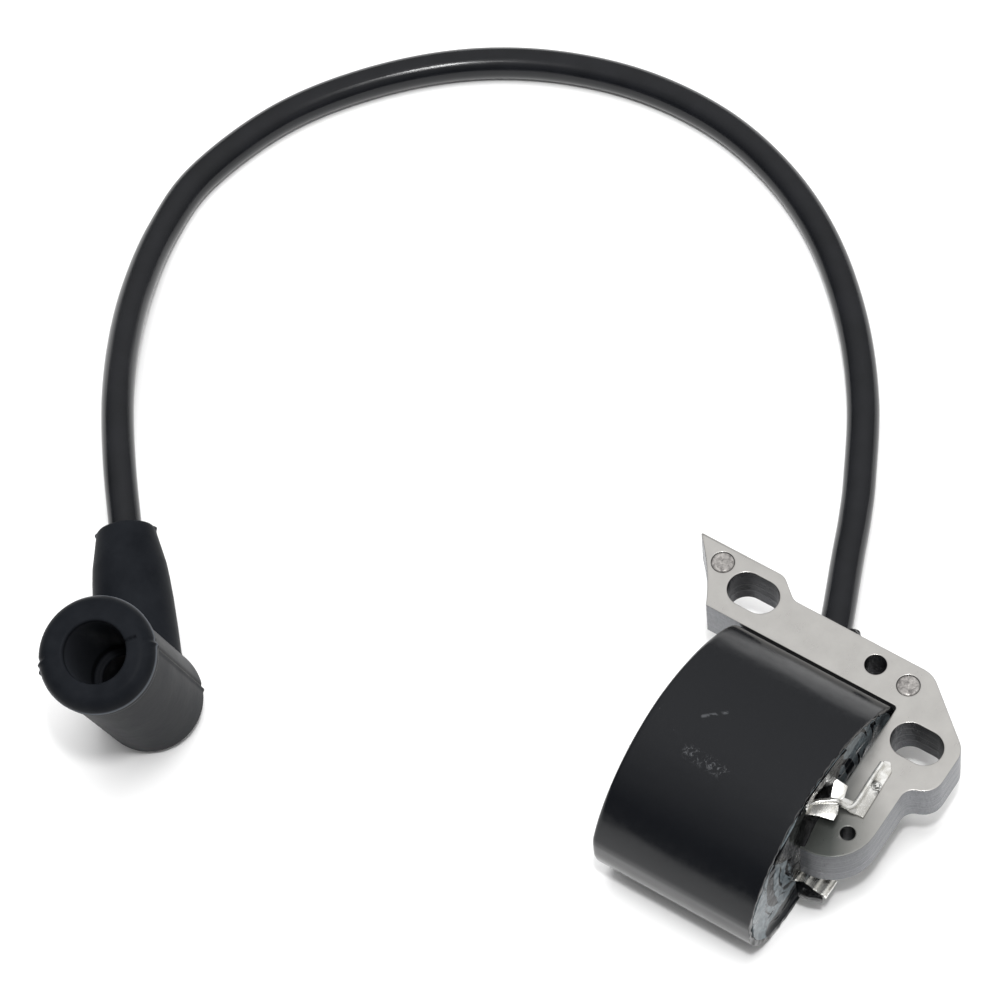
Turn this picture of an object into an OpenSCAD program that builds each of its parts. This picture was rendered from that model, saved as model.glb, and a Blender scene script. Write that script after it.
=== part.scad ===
// Magneto ignition coil of a small two-stroke engine, with its high-tension lead and plug boot.
//
// Frame: the origin is the centre of the front mounting slot, on the core's seating face (its
// underside). +X points to the side that the lead leaves, +Y to the pole faces, +Z up.
// The coil lies on a flat surface at z = -rest_z, on the flat bottom of its housing.

/* [Core] */
// Thickness of the lamination stack
core_t = 10.5; // [9:0.5:12]
// Radius of the pole faces, which the flywheel passes
pole_r = 52.7; // [51:0.1:54]
// X of the bar's inner edge, beside the housing
bar_in_x = -7.5; // [-8:0.1:-7]
// X of the bar's outer edge between its two bolt lobes
bar_out_x = 2.85; // [2.5:0.05:3.2]
// X of the outer edge of the front bolt lobe
lobe_x = 6.75; // [6.5:0.05:7]
// Width of the leg that carries the windings
leg_w = 12; // [11:0.5:13]
// Middle of the leg
leg_x = -39.1; // [-40:0.1:-38]
// Y of the arm's inner edge, at the closed end of the window
arm_in_y = -39; // [-39.5:0.1:-38.8]
// Y of the arm's outer edge
arm_out_y = -50.2; // [-51:0.1:-49]
// Radius of the rounded arm end
arm_end_r = 10.2; // [9:0.1:11]
// Radius of the core rivets
rivet_r = 2.4; // [2:0.1:2.6]

/* [Mounting] */
// Width of both mounting slots
slot_w = 8; // [7:0.5:8.5]
// End-to-end length of both mounting slots
slot_l = 11.4; // [10:0.2:12]
// X of the rear mounting slot
rear_slot_x = -12.7; // [-13.5:0.1:-12]
// Y of the rear mounting slot
rear_slot_y = -46.8; // [-47.5:0.1:-46]
// Diameter of the locating hole in the bar
locating_d = 4.6; // [4:0.1:5]
// Diameter of the small hole in the arm
pilot_d = 3.1; // [2.5:0.1:3.5]

/* [Housing] */
// Height of the resting surface below the seating face
rest_z = 13; // [13:0.5:14]
// Thickness of the housing wall
wall = 1.6; // [1.2:0.1:2]
// Radius of the housing's domed top
dome_r = 29.5; // [29:0.1:30]
// X of the housing's flat far side
far_x = -64.2; // [-65:0.1:-63.5]
// Radius of the lower far corner
heel_r = 15.5; // [14:0.5:16]
// Y of the closed end, beside the poles
closed_y = -0.9; // [-1.2:0.1:-0.6]
// Y of the open, potted end
open_y = -38.4; // [-38.6:0.1:-38.2]

/* [Windings] */
// Number of chambers in the secondary bobbin
chambers = 7; // [5:1:9]
// Width and height of the secondary bobbin's ribs
rib_size = [31, 28];
// Width and height of the wound secondary
secondary_size = [29.4, 26.4];
// Width and height of the wound primary
primary_size = [19.6, 18];

/* [High-tension lead] */
// Outer diameter of the lead
lead_d = 7; // [6.5:0.5:7]
// Diameter of the stranded conductor inside it
conductor_d = 2.2; // [2:0.1:2.4]
// Outer diameter of the tower that the lead leaves by
tower_d = 12.7; // [12:0.1:12.8]
// Angle between the tower and the X axis
tower_turn = 21; // [18:1:24]

/* [Boot] */
// Radius of the bore that grips the spark plug
plug_bore_r = 6.45; // [6:0.05:6.6]
// Length of the plug bore
plug_bore_l = 28; // [24:1:30]
// Outer radius at the mouth of the barrel
mouth_r = 12.1; // [11.5:0.1:12.5]
// Outer radius of the barrel below the rim of its mouth
barrel_r = 11.2; // [11:0.1:11.4]
// Length of the barrel, closed end to mouth
barrel_l = 54.6; // [50:0.2:56]
// Length of the arm, from the barrel's axis to its lip
arm_l = 36.5; // [34:0.5:40]

/* [Hidden] */

fit = 0.1;                     // gap between parts that sit in each other
eps = 0.01;
near_x = bar_in_x - 0.2;       // housing side that faces the bar
core_mid_z = core_t / 2;
leg_c = [leg_x, core_mid_z];
dome_c = [-36.5, -3.5];        // centre of the domed top, in x and z
flywheel_c = [-30.6, 54.2];
nose_y = -55.7;                // end of the lobe round the rear slot
tip_y = 16.6;
leg_tip_y = 1.2;               // where the leg's far side starts to slope to the pole face
rivet_at = [[2.9, 9.2], [-2.1, -38.4]];
locating_at = [-1.4, -30.2];
pilot_at = [-37.3, -45.3];
rear_slot_at = [rear_slot_x, rear_slot_y];

// Corners of the core as [x, y, corner radius]; the pole circle cuts the two ends on +Y.
core_corners = [
    [lobe_x, tip_y, 0.3],
    [lobe_x, -3.4, 3],
    [bar_out_x, -8, 3],
    [bar_out_x, -41.4, 6],
    [-9.3, nose_y, 5],
    [-20.6, nose_y, 4.5],
    [-22.6, arm_out_y, 3],
    [leg_x - leg_w / 2, arm_out_y, arm_end_r],
    [leg_x - leg_w / 2, leg_tip_y, 1.5],
    [leg_x, leg_tip_y + 6, 0],
    [leg_x + leg_w / 2, 8, 0],
    [leg_x + leg_w / 2, arm_in_y, 1],
    [bar_in_x, arm_in_y, 0.8],
    [bar_in_x, tip_y, 0]
];

// High-tension tower: its mouth, and the direction that the lead leaves in
tower_mouth = [6.1, -15.1, -6.6];
tower_dir = [cos(tower_turn), sin(tower_turn), 0];
tower_depth = 11;              // depth of the lead's bore in the tower

// Boot: the middle of its closed end, the direction of the barrel's mouth and that of the arm's lip
heel = [-77.2, 100.2, -10.13];
barrel_dir = [-0.31, -0.07, 0.95];
arm_dir = [0.764, 0.63, 0.142];
elbow_up = 10;                 // where the arm's axis meets the barrel's, above the closed end
elbow = heel + elbow_up * unit(barrel_dir);
heel_edge_r = 2.6;             // rounding round the closed end
lip_r = 8.2;                   // radius of the flat part of the mouth, outside its bore
lip_h = 3.6;                   // height of the mouth's rounded lip
rim_l = 2;                     // length of the thicker rim below the lip
lead_end = 9.5;                // distance from the elbow to the lead's cut end
arm_profile = [[0, 9], [12, 8.8], [20, 8.5], [28, 7.9], [arm_l, 6.05]];
notch_turn = 133;              // direction of the keyway slit round the barrel's mouth
notch_w = 0.6;

// Route of the lead: out of the tower, down to the surface, round the loop and into the boot
lead_z = lead_d / 2 - rest_z;
lead_route = concat(
    [for (d = [0.2 - tower_depth, -5, 0, 7]) tower_mouth + d * tower_dir],
    [
        [25.5, -7, -8], [35, -3, -9.2], [44.5, 1.5, lead_z], [61.5, 11, lead_z],
        [77.5, 23.5, lead_z], [91.5, 39, lead_z], [101, 56, lead_z], [106, 75, lead_z],
        [105.5, 95.5, lead_z], [99.5, 115.5, lead_z], [89, 133, lead_z],
        [74, 148, lead_z], [56.5, 159, lead_z], [35.5, 165, lead_z], [19, 164, -8.9],
        [3, 159, -5.7], [-11.5, 152, -1.5], [-26, 143, 3], [-39.5, 133, 5.3]
    ],
    [for (d = [arm_l + 2, 28, 18, lead_end]) elbow + d * unit(arm_dir)]
);

// ---- functions ----

function unit(v) = v / norm(v);

// Signed turn from angle a to angle b, in -180 to 180
function turn(a, b) = (b - a + 900) % 360 - 180;

// Arc that rounds the corner p between its neighbours a and b
function corner_arc(a, p, b, r, steps = 8) =
    let (u = unit(a - p), v = unit(b - p), half = acos(u * v) / 2)
    let (c = p + unit(u + v) * r / sin(half))
    let (s = p + u * r / tan(half) - c, e = p + v * r / tan(half) - c)
    let (a0 = atan2(s.y, s.x), sweep = turn(a0, atan2(e.y, e.x)))
    [for (i = [0:steps]) c + r * [cos(a0 + sweep * i / steps), sin(a0 + sweep * i / steps)]];

function xy(p) = [p.x, p.y];

// Outline whose corners are [x, y, corner radius]
function rounded(corners) =
    let (n = len(corners))
    [
        for (i = [0:n - 1])
            let (p = corners[i], a = corners[(i + n - 1) % n], b = corners[(i + 1) % n])
            each (p.z == 0 ? [xy(p)] : corner_arc(xy(a), xy(p), xy(b), p.z))
    ];

// Rectangle of size s round the middle c, with corner radius r
function box_outline(c, s, r) =
    rounded([for (k = [[-1, -1], [1, -1], [1, 1], [-1, 1]])
        [c.x + k.x * s.x / 2, c.y + k.y * s.y / 2, r]]);

// Point at t, from 0 to 1, between b and c on a smooth curve through a, b, c and d
function spline_point(a, b, c, d, t) =
    (2 * b + (c - a) * t + (2 * a - 5 * b + 4 * c - d) * t * t
        + (3 * b - 3 * c + d - a) * t * t * t) / 2;

// Points of a smooth curve through a route, with steps points for each of its stretches
function smooth(route, steps) =
    let (n = len(route) - 1)
    [
        for (i = [0:n - 1], k = [0:steps - 1])
            spline_point(route[max(i - 1, 0)], route[i], route[i + 1], route[min(i + 2, n)], k / steps),
        route[n]
    ];

// Direction of a path at its point i
function heading(path, i) = unit(path[min(i + 1, len(path) - 1)] - path[max(i - 1, 0)]);

// Side vectors carried along the path, so that the swept rings don't twist
function sides(path, i = 0, side = [0, 0, 1]) =
    i == len(path) ? [] :
    let (h = heading(path, i), s = unit(side - (side * h) * h))
    concat([s], sides(path, i + 1, s));

// Ring i of a tube of radius r round a path
function ring(path, side, i, r, n) =
    let (h = heading(path, i), s = side[i], w = cross(h, s))
    [for (k = [0:n - 1]) path[i] + r * (cos(360 * k / n) * s + sin(360 * k / n) * w)];

// ---- shared shapes ----

// Solid rod swept along a path
module rod(path, r, n = 8, up = [0, 0, 1]) {
    side = sides(path, 0, up);
    last = len(path) - 1;
    polyhedron(
        points = [for (i = [0:last]) each ring(path, side, i, r, n)],
        faces = concat(
            [[for (k = [0:n - 1]) k]],
            [for (i = [0:last - 1], k = [0:n - 1])
                [i * n + k, (i + 1) * n + k, (i + 1) * n + (k + 1) % n, i * n + (k + 1) % n]],
            [[for (k = [n - 1:-1:0]) last * n + k]]
        )
    );
}

// Hollow tube swept along a path
module tube(path, r, bore_r, n = 10) {
    side = sides(path, 0, [0, 0, 1]);
    last = len(path) - 1;
    inner = (last + 1) * n;
    polyhedron(
        points = concat(
            [for (i = [0:last]) each ring(path, side, i, r, n)],
            [for (i = [0:last]) each ring(path, side, i, bore_r, n)]
        ),
        faces = concat(
            [for (i = [0:last - 1], k = [0:n - 1])
                [i * n + k, (i + 1) * n + k, (i + 1) * n + (k + 1) % n, i * n + (k + 1) % n]],
            [for (i = [0:last - 1], k = [0:n - 1])
                [inner + i * n + (k + 1) % n, inner + (i + 1) * n + (k + 1) % n,
                 inner + (i + 1) * n + k, inner + i * n + k]],
            [for (k = [0:n - 1]) [k, (k + 1) % n, inner + (k + 1) % n, inner + k]],
            [for (k = [0:n - 1])
                [last * n + (k + 1) % n, last * n + k,
                 inner + last * n + k, inner + last * n + (k + 1) % n]]
        )
    );
}

// Slot along Y, cut from z0 to z1
module slot(at, z0, z1) {
    reach = slot_l / 2 - slot_w / 2;
    translate([at.x, at.y, z0]) {
        for (side = [-1, 1])
            translate([0, side * reach, 0])
                cylinder(d = slot_w, h = z1 - z0, $fn = 64);
        translate([-slot_w / 2, -reach, 0])
            cube([slot_w, 2 * reach, z1 - z0]);
    }
}

// Extrudes an x-z section from y0 down to y1
module along_y(y0, y1) {
    translate([0, y0, 0])
        rotate([90, 0, 0])
            linear_extrude(y0 - y1)
                children();
}

// Block round the leg: size in x and z, from y0 down to y1
module leg_block(size, y0, y1, r = 0.5) {
    along_y(y0, y1)
        polygon(box_outline(leg_c, size, r));
}

// Sleeve round the leg
module leg_sleeve(outer, inner, y0, y1, r = 0.5, inner_r = 0.5) {
    difference() {
        leg_block(outer, y0, y1, r);
        leg_block(inner, y0 + 1, y1 - 1, inner_r);
    }
}

// Section of the housing, moved inwards by inset
module housing_section(inset) {
    shoulder_z = core_t - 0.1;
    intersection() {
        union() {
            translate(dome_c)
                circle(r = dome_r - inset, $fn = 128);
            polygon([
                [near_x - inset, dome_c.y - 8],
                [near_x - inset, shoulder_z - 0.3 * inset],
                [near_x - 2.8 - 0.75 * inset, shoulder_z + 4.2 - 0.67 * inset],
                [near_x - 9.8 - 0.58 * inset, shoulder_z + 9.8 - 0.83 * inset],
                [-24, shoulder_z + 12.8 - 1.1 * inset],
                [-24, dome_c.y - 8]
            ]);
        }
        polygon(rounded([
            [far_x + inset, dome_r, 0],
            [far_x + inset, inset - rest_z, heel_r - inset],
            [near_x - inset, inset - rest_z, 2],
            [near_x - inset, dome_r, 0]
        ]));
    }
}

// Places children so that their +Z runs along dir from the point at
module aim(at, dir) {
    d = unit(dir);
    translate(at)
        rotate([0, acos(d.z), atan2(d.y, d.x)])
            children();
}

// ---- core ----

module core_stack() {
    color([0.72, 0.72, 0.71])
    difference() {
        linear_extrude(core_t)
            polygon(rounded(core_corners));
        translate([flywheel_c.x, flywheel_c.y, -1])
            cylinder(r = pole_r, h = core_t + 2, $fn = 256);
        slot([0, 0], -1, core_t + 1);
        slot(rear_slot_at, -1, core_t + 1);
        for (p = rivet_at)
            translate([p.x, p.y, -1])
                cylinder(r = rivet_r + fit / 2, h = core_t + 2, $fn = 48);
        translate([locating_at.x, locating_at.y, -1])
            cylinder(d = locating_d, h = core_t + 2, $fn = 48);
        translate([pilot_at.x, pilot_at.y, -1])
            cylinder(d = pilot_d, h = core_t + 2, $fn = 48);
    }
}

module core_rivets() {
    color([0.66, 0.65, 0.63])
    for (p = rivet_at)
        translate([p.x, p.y, 0])
            cylinder(r = rivet_r, h = core_t, $fn = 48);
}

// ---- housing and potting ----

module tower_body() {
    aim(tower_mouth, -tower_dir)
        cylinder(d = tower_d, h = 17.5, $fn = 64);
}

module tower_bore() {
    aim(tower_mouth + tower_dir, -tower_dir)
        cylinder(r = lead_d / 2 + fit, h = tower_depth + 1, $fn = 48);
}

module pin_bore() {
    aim(tower_mouth, -tower_dir)
        cylinder(r = pin_r + fit / 2, h = 19, $fn = 32);
}

module leg_window() {
    leg_block([leg_w + 2 * fit, core_t + 2 * fit], closed_y + 1, closed_y - 4);
}

module housing_shell() {
    color([0.05, 0.05, 0.055])
    difference() {
        union() {
            difference() {
                along_y(closed_y, open_y)
                    housing_section(0);
                along_y(closed_y - wall, open_y - 1)
                    housing_section(wall);
            }
            tower_body();
        }
        leg_window();
        tower_bore();
        pin_bore();
    }
}

module potting_resin() {
    color([0.42, 0.48, 0.5])
    difference() {
        along_y(closed_y - wall, open_y + 0.4)
            housing_section(wall);
        leg_block([leg_w, core_t], closed_y + 1, open_y - 1, 0);
        leg_block(rib_size + [0.2, 0.2], bobbin_y0 + fit, bobbin_y1 - fit, 6.1);
        tower_body();
        pin_shape(fit / 2);
        board_outline(0.05);
        transistor_shape();
        thyristor_shape();
        resistor_shapes();
        capacitor_shape();
        rod(link_route, wire_r + 0.05, 6);
        for (route = board_wire_routes)
            rod(route, wire_r + 0.05, 6);
        strap_root(0.05);
        terminal_blade(0.05);
    }
}

seal_t = 1.1;                  // height of the sealant round the leg
seal_reach = 3;                // how far it runs out along the core

module leg_seal() {
    y0 = open_y + 0.4;
    color([0.06, 0.06, 0.065])
    difference() {
        union() {
            along_y(y0, arm_in_y + 0.05)
                polygon(box_outline(leg_c, [leg_w + 2 * seal_t, core_t + 2 * seal_t], 1));
            along_y(y0, y0 - seal_reach)
                polygon(box_outline(leg_c - [seal_t / 2, 0], [leg_w + seal_t, core_t + 2 * seal_t], 1));
        }
        translate([leg_x - leg_w / 2, y0 - 10, 0])
            cube([leg_w + 10, 12, core_t]);
        strap_root(0.05);
        terminal_blade(0.05);
    }
}

// ---- windings ----

bobbin_y0 = -3.3;
bobbin_y1 = -35.9;
rib_t = 0.8;
flange_t = 1.2;

module primary_bobbin() {
    tube_size = [leg_w + 2.6, core_t + 2.5];
    bore = [leg_w + 0.4, core_t + 0.4];
    color([0.75, 0.73, 0.66])
    difference() {
        union() {
            leg_block(tube_size, bobbin_y0, bobbin_y1);
            leg_block(primary_size + [0.6, 0.6], bobbin_y0, bobbin_y0 - flange_t, 2);
            leg_block(primary_size + [0.6, 0.6], bobbin_y1 + flange_t, bobbin_y1, 2);
        }
        leg_block(bore, bobbin_y0 + 1, bobbin_y1 - 1);
    }
}

module primary_winding() {
    color([0.72, 0.35, 0.16])
    leg_sleeve(primary_size, [leg_w + 2.8, core_t + 2.7],
        bobbin_y0 - flange_t - fit, bobbin_y1 + flange_t + fit, 2);
}

module winding_tape() {
    color([0.86, 0.78, 0.35])
    leg_sleeve(primary_size + [0.6, 0.6], primary_size + [0.1, 0.1],
        bobbin_y0 - flange_t - fit, bobbin_y1 + flange_t + fit, 2.2, 2);
}

chamber_pitch = (bobbin_y0 - bobbin_y1 - rib_t) / chambers;

module secondary_bobbin() {
    bore = primary_size + [0.9, 0.9];
    color([0.8, 0.8, 0.76])
    difference() {
        union() {
            leg_block(bore + [2, 2], bobbin_y0, bobbin_y1, 3);
            for (i = [0:chambers]) {
                y = bobbin_y0 - i * chamber_pitch;
                leg_block(rib_size, y, y - rib_t, 6);
            }
        }
        leg_block(bore, bobbin_y0 + 1, bobbin_y1 - 1, 2.3);
    }
}

module secondary_winding() {
    color([0.6, 0.27, 0.12])
    for (i = [0:chambers - 1]) {
        y = bobbin_y0 - i * chamber_pitch - rib_t - fit / 2;
        leg_sleeve(secondary_size, primary_size + [3.1, 3.1],
            y, y - chamber_pitch + rib_t + fit, 5.3, 3);
    }
}

// ---- circuit ----

board_x = -11;
board_t = 1.2;
board_size = [26, 11];         // along y and z
board_low = [-33, -1.5];       // lowest y and z
board_face = board_x - board_t;

module board_outline(grow) {
    translate([board_face, board_low.x, board_low.y] - [1, 1, 1] * grow)
        cube([board_t, board_size.x, board_size.y] + [2, 2, 2] * grow);
}

module circuit_board() {
    color([0.1, 0.32, 0.16])
    board_outline(0);
}

// Block that stands on the board's face: lowest y and z, and its size
module on_board(low, size) {
    translate([board_face - 0.05 - size.x, low.x, low.y])
        cube(size);
}

module transistor_shape() {
    on_board([-30.5, 0], [4.4, 9.8, 8]);
}

module power_transistor() {
    color([0.12, 0.12, 0.13])
    transistor_shape();
}

module thyristor_shape() {
    translate([board_face - 2.5, -17.5, 4])
        cylinder(r = 2.3, h = 4.6, $fn = 48);
}

module control_thyristor() {
    color([0.1, 0.1, 0.1])
    thyristor_shape();
}

module resistor_shapes() {
    for (z = [0.5, 3.4])
        translate([board_face - 1.2, -8.4, z])
            rotate([90, 0, 0])
                cylinder(r = 1.1, h = 5.6, $fn = 32);
}

module board_resistors() {
    color([0.65, 0.5, 0.35])
    resistor_shapes();
}

module capacitor_shape() {
    on_board([-13.6, 5.3], [3, 5.4, 3.6]);
}

module board_capacitor() {
    color([0.62, 0.25, 0.12])
    capacitor_shape();
}

wire_r = 0.35;
// Ends of the primary, from its bobbin's open-end flange to the board
board_wire_routes = [
    for (dz = [0, 3])
        [
            [leg_x + 10.9, -36.6, 2 + dz], [-24, -36.9, 2 + dz],
            [-16, -36.6, 2.5 + dz], [-11.8, -35.4, 3 + dz], [-11.6, -33.2, 3 + dz]
        ]
];

module board_wires() {
    color([0.72, 0.35, 0.16])
    for (route = board_wire_routes)
        rod(route, wire_r, 6);
}

// ---- terminals ----

strap_t = 0.5;
strap_root_z = core_t + 2.4;
strap_flap_z = strap_root_z + strap_t;
tab_end_x = [-33, -19.8];      // ends of the tab that is welded to the arm
tab_y = -43.1;
tab_w = 3.2;
strap_root_outline = [[-34.2, -33.9], [-33.4, -39.7], [-36.9, -42.3], [-39.3, -39.2], [-38.6, -35.5]];
strap_flap_outline = [[-30, -37.7], [-29, -40.2], [-32.8, -42.2], [-34.4, -39.6]];

// The part of the strap that comes out of the potting
module strap_root(grow) {
    translate([0, 0, strap_root_z - grow])
        linear_extrude(strap_t + 2 * grow)
            offset_outline(strap_root_outline, grow);
}

// Outline moved outwards by grow about its middle, for thin clearances
module offset_outline(points, grow) {
    c = (points[0] + points[2]) / 2;
    polygon([for (p = points) p + grow * unit(p - c)]);
}

module ground_strap() {
    color([0.86, 0.84, 0.78])
    union() {
        strap_root(0);
        // folded crimp flap
        translate([0, 0, strap_flap_z - eps])
            linear_extrude(strap_t)
                polygon(strap_flap_outline);
        // step from the flap down to the tab
        along_slope([-31.4, -41, strap_flap_z - eps], [-31.4, tab_y - 0.6, core_t], 2.8);
        // flat tab that is welded to the arm
        translate([tab_end_x[0], tab_y - tab_w, core_t])
            cube([tab_end_x[1] - tab_end_x[0], tab_w, strap_t]);
        // lip along the tab's inner edge
        translate([tab_end_x[0] + 3, tab_y - strap_t, core_t])
            cube([tab_end_x[1] - tab_end_x[0] - 3, strap_t, 1.2]);
    }
}

// Sloping plate from a to b, which differ in y and z
module along_slope(a, b, width) {
    translate([a.x - width / 2, 0, 0])
        rotate([90, 0, 90])
            linear_extrude(width)
                polygon([[a.y, a.z], [a.y, a.z + strap_t], [b.y, b.z + strap_t], [b.y, b.z]]);
}

module strap_weld() {
    color([0.6, 0.58, 0.52])
    translate([-24.8, tab_y - tab_w / 2 - 0.1, core_t + strap_t])
        cylinder(r1 = 1.1, r2 = 0.6, h = 0.35, $fn = 32);
}

blade_z = -4.4;
blade_low = [-46, -45.8];      // outer corner of the blade, in x and y
blade_w = 4.4;

module terminal_blade(grow) {
    translate([blade_low.x, blade_low.y, blade_z] - [1, 1, 1] * grow)
        cube([blade_w, 11, 0.8] + [2, 2, 2] * grow);
}

module stop_terminal() {
    color([0.8, 0.78, 0.74])
    union() {
        terminal_blade(0);
        // crimped ribs across the blade
        for (i = [0:3])
            translate([blade_low.x, blade_low.y + 0.6 + 1.3 * i, blade_z + 0.8 - eps])
                cube([blade_w, 0.6, 0.35]);
    }
}

module stop_terminal_block() {
    color([0.04, 0.04, 0.045])
    translate([blade_low.x - 0.05, open_y + 0.35, blade_z - 1.6])
        linear_extrude(2.8)
            polygon([[0, 0], [0, -7.4], [-1.8, 0]]);
}

pin_r = 0.95;

module pin_shape(grow) {
    aim(tower_mouth - 4 * tower_dir, -tower_dir) {
        cylinder(r = pin_r + grow, h = 16.2, $fn = 32);
        translate([0, 0, 14.2])
            cylinder(r = 1.8 + grow, h = 2 + grow, $fn = 32);
    }
}

module ht_contact_pin() {
    color([0.8, 0.62, 0.3])
    pin_shape(0);
}

// From the pin's inner end to the secondary's last chamber
link_route = [
    tower_mouth - 20.5 * tower_dir, [-14.5, -23, -6.8], [-19, -26.5, -6], [-22.6, -29, -3.5], [-23.4, -31, -1]
];

module ht_link_wire() {
    color([0.72, 0.35, 0.16])
    rod(link_route, wire_r, 6);
}

// ---- lead ----

module tower_seal() {
    color([0.05, 0.05, 0.05])
    aim(tower_mouth + 0.02 * tower_dir, tower_dir)
        difference() {
            union() {
                cylinder(r1 = 5, r2 = 4.1, h = 1.6, $fn = 48);
                // lump where the bead was finished
                translate([-2.4, -2.6, 0])
                    cylinder(r1 = 2, r2 = 1.4, h = 2.2, $fn = 32);
            }
            translate([0, 0, -1])
                cylinder(r = lead_d / 2 + 0.02, h = 5, $fn = 48);
        }
}

lead_path = smooth(lead_route, 3);
bare_start = 4;                // points of the path that the pin takes up
bare_end = 4;                  // points that the boot's spring takes up

module lead_insulation() {
    color([0.06, 0.06, 0.06])
    tube(lead_path, lead_d / 2, conductor_d / 2 + 0.15);
}

module lead_conductor() {
    color([0.75, 0.45, 0.25])
    rod([for (i = [bare_start:len(lead_path) - 1 - bare_end]) lead_path[i]], conductor_d / 2, 10);
}

// ---- boot ----

// Half section of the barrel: radius and height above the closed end
function barrel_section() =
    let (rim_z = barrel_l - lip_h)
    concat(
        [[0, 0]],
        [for (a = [-90:15:0]) [barrel_r, heel_edge_r] + heel_edge_r * [cos(a) - 1, sin(a)]],
        [[barrel_r, rim_z - rim_l - 0.8], [mouth_r, rim_z - rim_l]],
        [for (a = [0:15:90]) [lip_r + (mouth_r - lip_r) * cos(a), rim_z + lip_h * sin(a)]],
        [[0, barrel_l]]
    );

module boot_shell() {
    color([0.07, 0.07, 0.075])
    difference() {
        union() {
            aim(heel, barrel_dir)
                rotate_extrude($fn = 96)
                    polygon(barrel_section());
            aim(elbow, arm_dir)
                for (i = [0:len(arm_profile) - 2]) {
                    a = arm_profile[i];
                    b = arm_profile[i + 1];
                    translate([0, 0, a.x])
                        cylinder(r1 = a.y, r2 = b.y, h = b.x - a.x, $fn = 64);
                }
        }
        aim(heel, barrel_dir) {
            translate([0, 0, barrel_l - plug_bore_l])
                cylinder(r = plug_bore_r, h = plug_bore_l + 1, $fn = 64);
            // chamber of the spring, below the bore
            translate([0, 0, elbow_up - 5])
                cylinder(r = spring_r + 1.2, h = barrel_l - plug_bore_l, $fn = 48);
            // keyway slit beside the bore
            rotate([0, 0, notch_turn])
                translate([0, -notch_w / 2, barrel_l - 3])
                    cube([plug_bore_r + 2.4, notch_w, 4]);
        }
        aim(elbow, arm_dir)
            cylinder(r = lead_d / 2 + fit, h = arm_l + 1, $fn = 48);
    }
}

spring_r = 3.6;
spring_wire_r = 0.55;
spring_turns = 3;
spring_pitch = 3;
spring_low = 2.6;              // start of the coil above the arm's axis

// Point in the barrel's own frame, from the elbow
function barrel_point(p) =
    let (w = unit(barrel_dir), u = unit(cross([0, 1, 0], w)), v = cross(w, u))
    elbow + p.x * u + p.y * v + p.z * w;

// Leg out of the lead's cut end, then the coil that presses on the plug's terminal
spring_path = concat(
    [for (d = [20, 14, 8]) elbow + d * unit(arm_dir)],
    [
        for (i = [0:spring_turns * 12])
            let (a = 30 + 30 * i)
            barrel_point([spring_r * cos(a), spring_r * sin(a), spring_low + spring_pitch * i / 12])
    ]
);

module boot_spring() {
    color([0.7, 0.7, 0.7])
    rod(spring_path, spring_wire_r, 8);
}

core_stack();
core_rivets();
housing_shell();
potting_resin();
leg_seal();
primary_bobbin();
primary_winding();
winding_tape();
secondary_bobbin();
secondary_winding();
circuit_board();
power_transistor();
control_thyristor();
board_resistors();
board_capacitor();
board_wires();
ground_strap();
strap_weld();
stop_terminal();
stop_terminal_block();
ht_contact_pin();
ht_link_wire();
tower_seal();
lead_insulation();
lead_conductor();
boot_shell();
boot_spring();
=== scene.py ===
"""Looks of the ignition coil: camera, lights, detailed pieces and materials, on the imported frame."""

import math
import random

import bmesh
import bpy
from mathutils import Matrix, Quaternion, Vector, noise
from mathutils.geometry import tessellate_polygon


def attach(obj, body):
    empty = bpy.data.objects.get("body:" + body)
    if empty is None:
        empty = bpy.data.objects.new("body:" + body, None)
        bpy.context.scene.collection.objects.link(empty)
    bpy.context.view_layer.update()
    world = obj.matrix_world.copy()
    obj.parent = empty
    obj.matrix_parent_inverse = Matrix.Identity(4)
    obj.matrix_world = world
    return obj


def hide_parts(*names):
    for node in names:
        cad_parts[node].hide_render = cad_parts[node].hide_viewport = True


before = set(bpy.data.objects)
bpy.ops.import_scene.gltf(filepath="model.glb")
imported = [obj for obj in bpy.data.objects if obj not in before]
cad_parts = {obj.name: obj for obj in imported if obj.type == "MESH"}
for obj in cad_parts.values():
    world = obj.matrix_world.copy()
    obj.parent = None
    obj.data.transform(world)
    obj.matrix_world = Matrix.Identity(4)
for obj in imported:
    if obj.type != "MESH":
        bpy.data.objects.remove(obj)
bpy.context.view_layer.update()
scene = bpy.context.scene

MM = 0.001
TABLE_Z = -13.0  # the surface that the coil lies on, in mm
BODY = "root"

# ---- places of the lead and the boot, in mm

TOWER_MOUTH = Vector((6.1, -15.1, -6.6))
TOWER_TURN = math.radians(21)
TOWER_DIR = Vector((math.cos(TOWER_TURN), math.sin(TOWER_TURN), 0))
HEEL = Vector((-77.2, 100.2, -10.13))
BARREL_DIR = Vector((-0.31, -0.07, 0.95)).normalized()
ARM_DIR = Vector((0.764, 0.63, 0.142)).normalized()
ELBOW = HEEL + 10 * BARREL_DIR
ARM_L = 36.5
MOUTH_R = 12.1
BARREL_R = 11.2
BARREL_L = 54.6
RIM_H = 3.6  # height of the mouth's rounded rim
RIM_Z = BARREL_L - RIM_H
PLUG_R = 6.45
PLUG_L = 28.0
BARREL_U = Vector((0, 1, 0)).cross(BARREL_DIR).normalized()
BARREL_V = BARREL_DIR.cross(BARREL_U)
SEAM_ACROSS = (ARM_DIR - ARM_DIR.dot(BARREL_DIR) * BARREL_DIR).normalized()
SEAM_SIDE = BARREL_DIR.cross(SEAM_ACROSS)  # the mould's seam runs up this side and the opposite one
LEAD_D = 7.0
LEAD_Z = TABLE_Z + LEAD_D / 2


def add_object(name, data):
    obj = bpy.data.objects.new(name, data)
    scene.collection.objects.link(obj)
    return obj


# ---- camera

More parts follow.
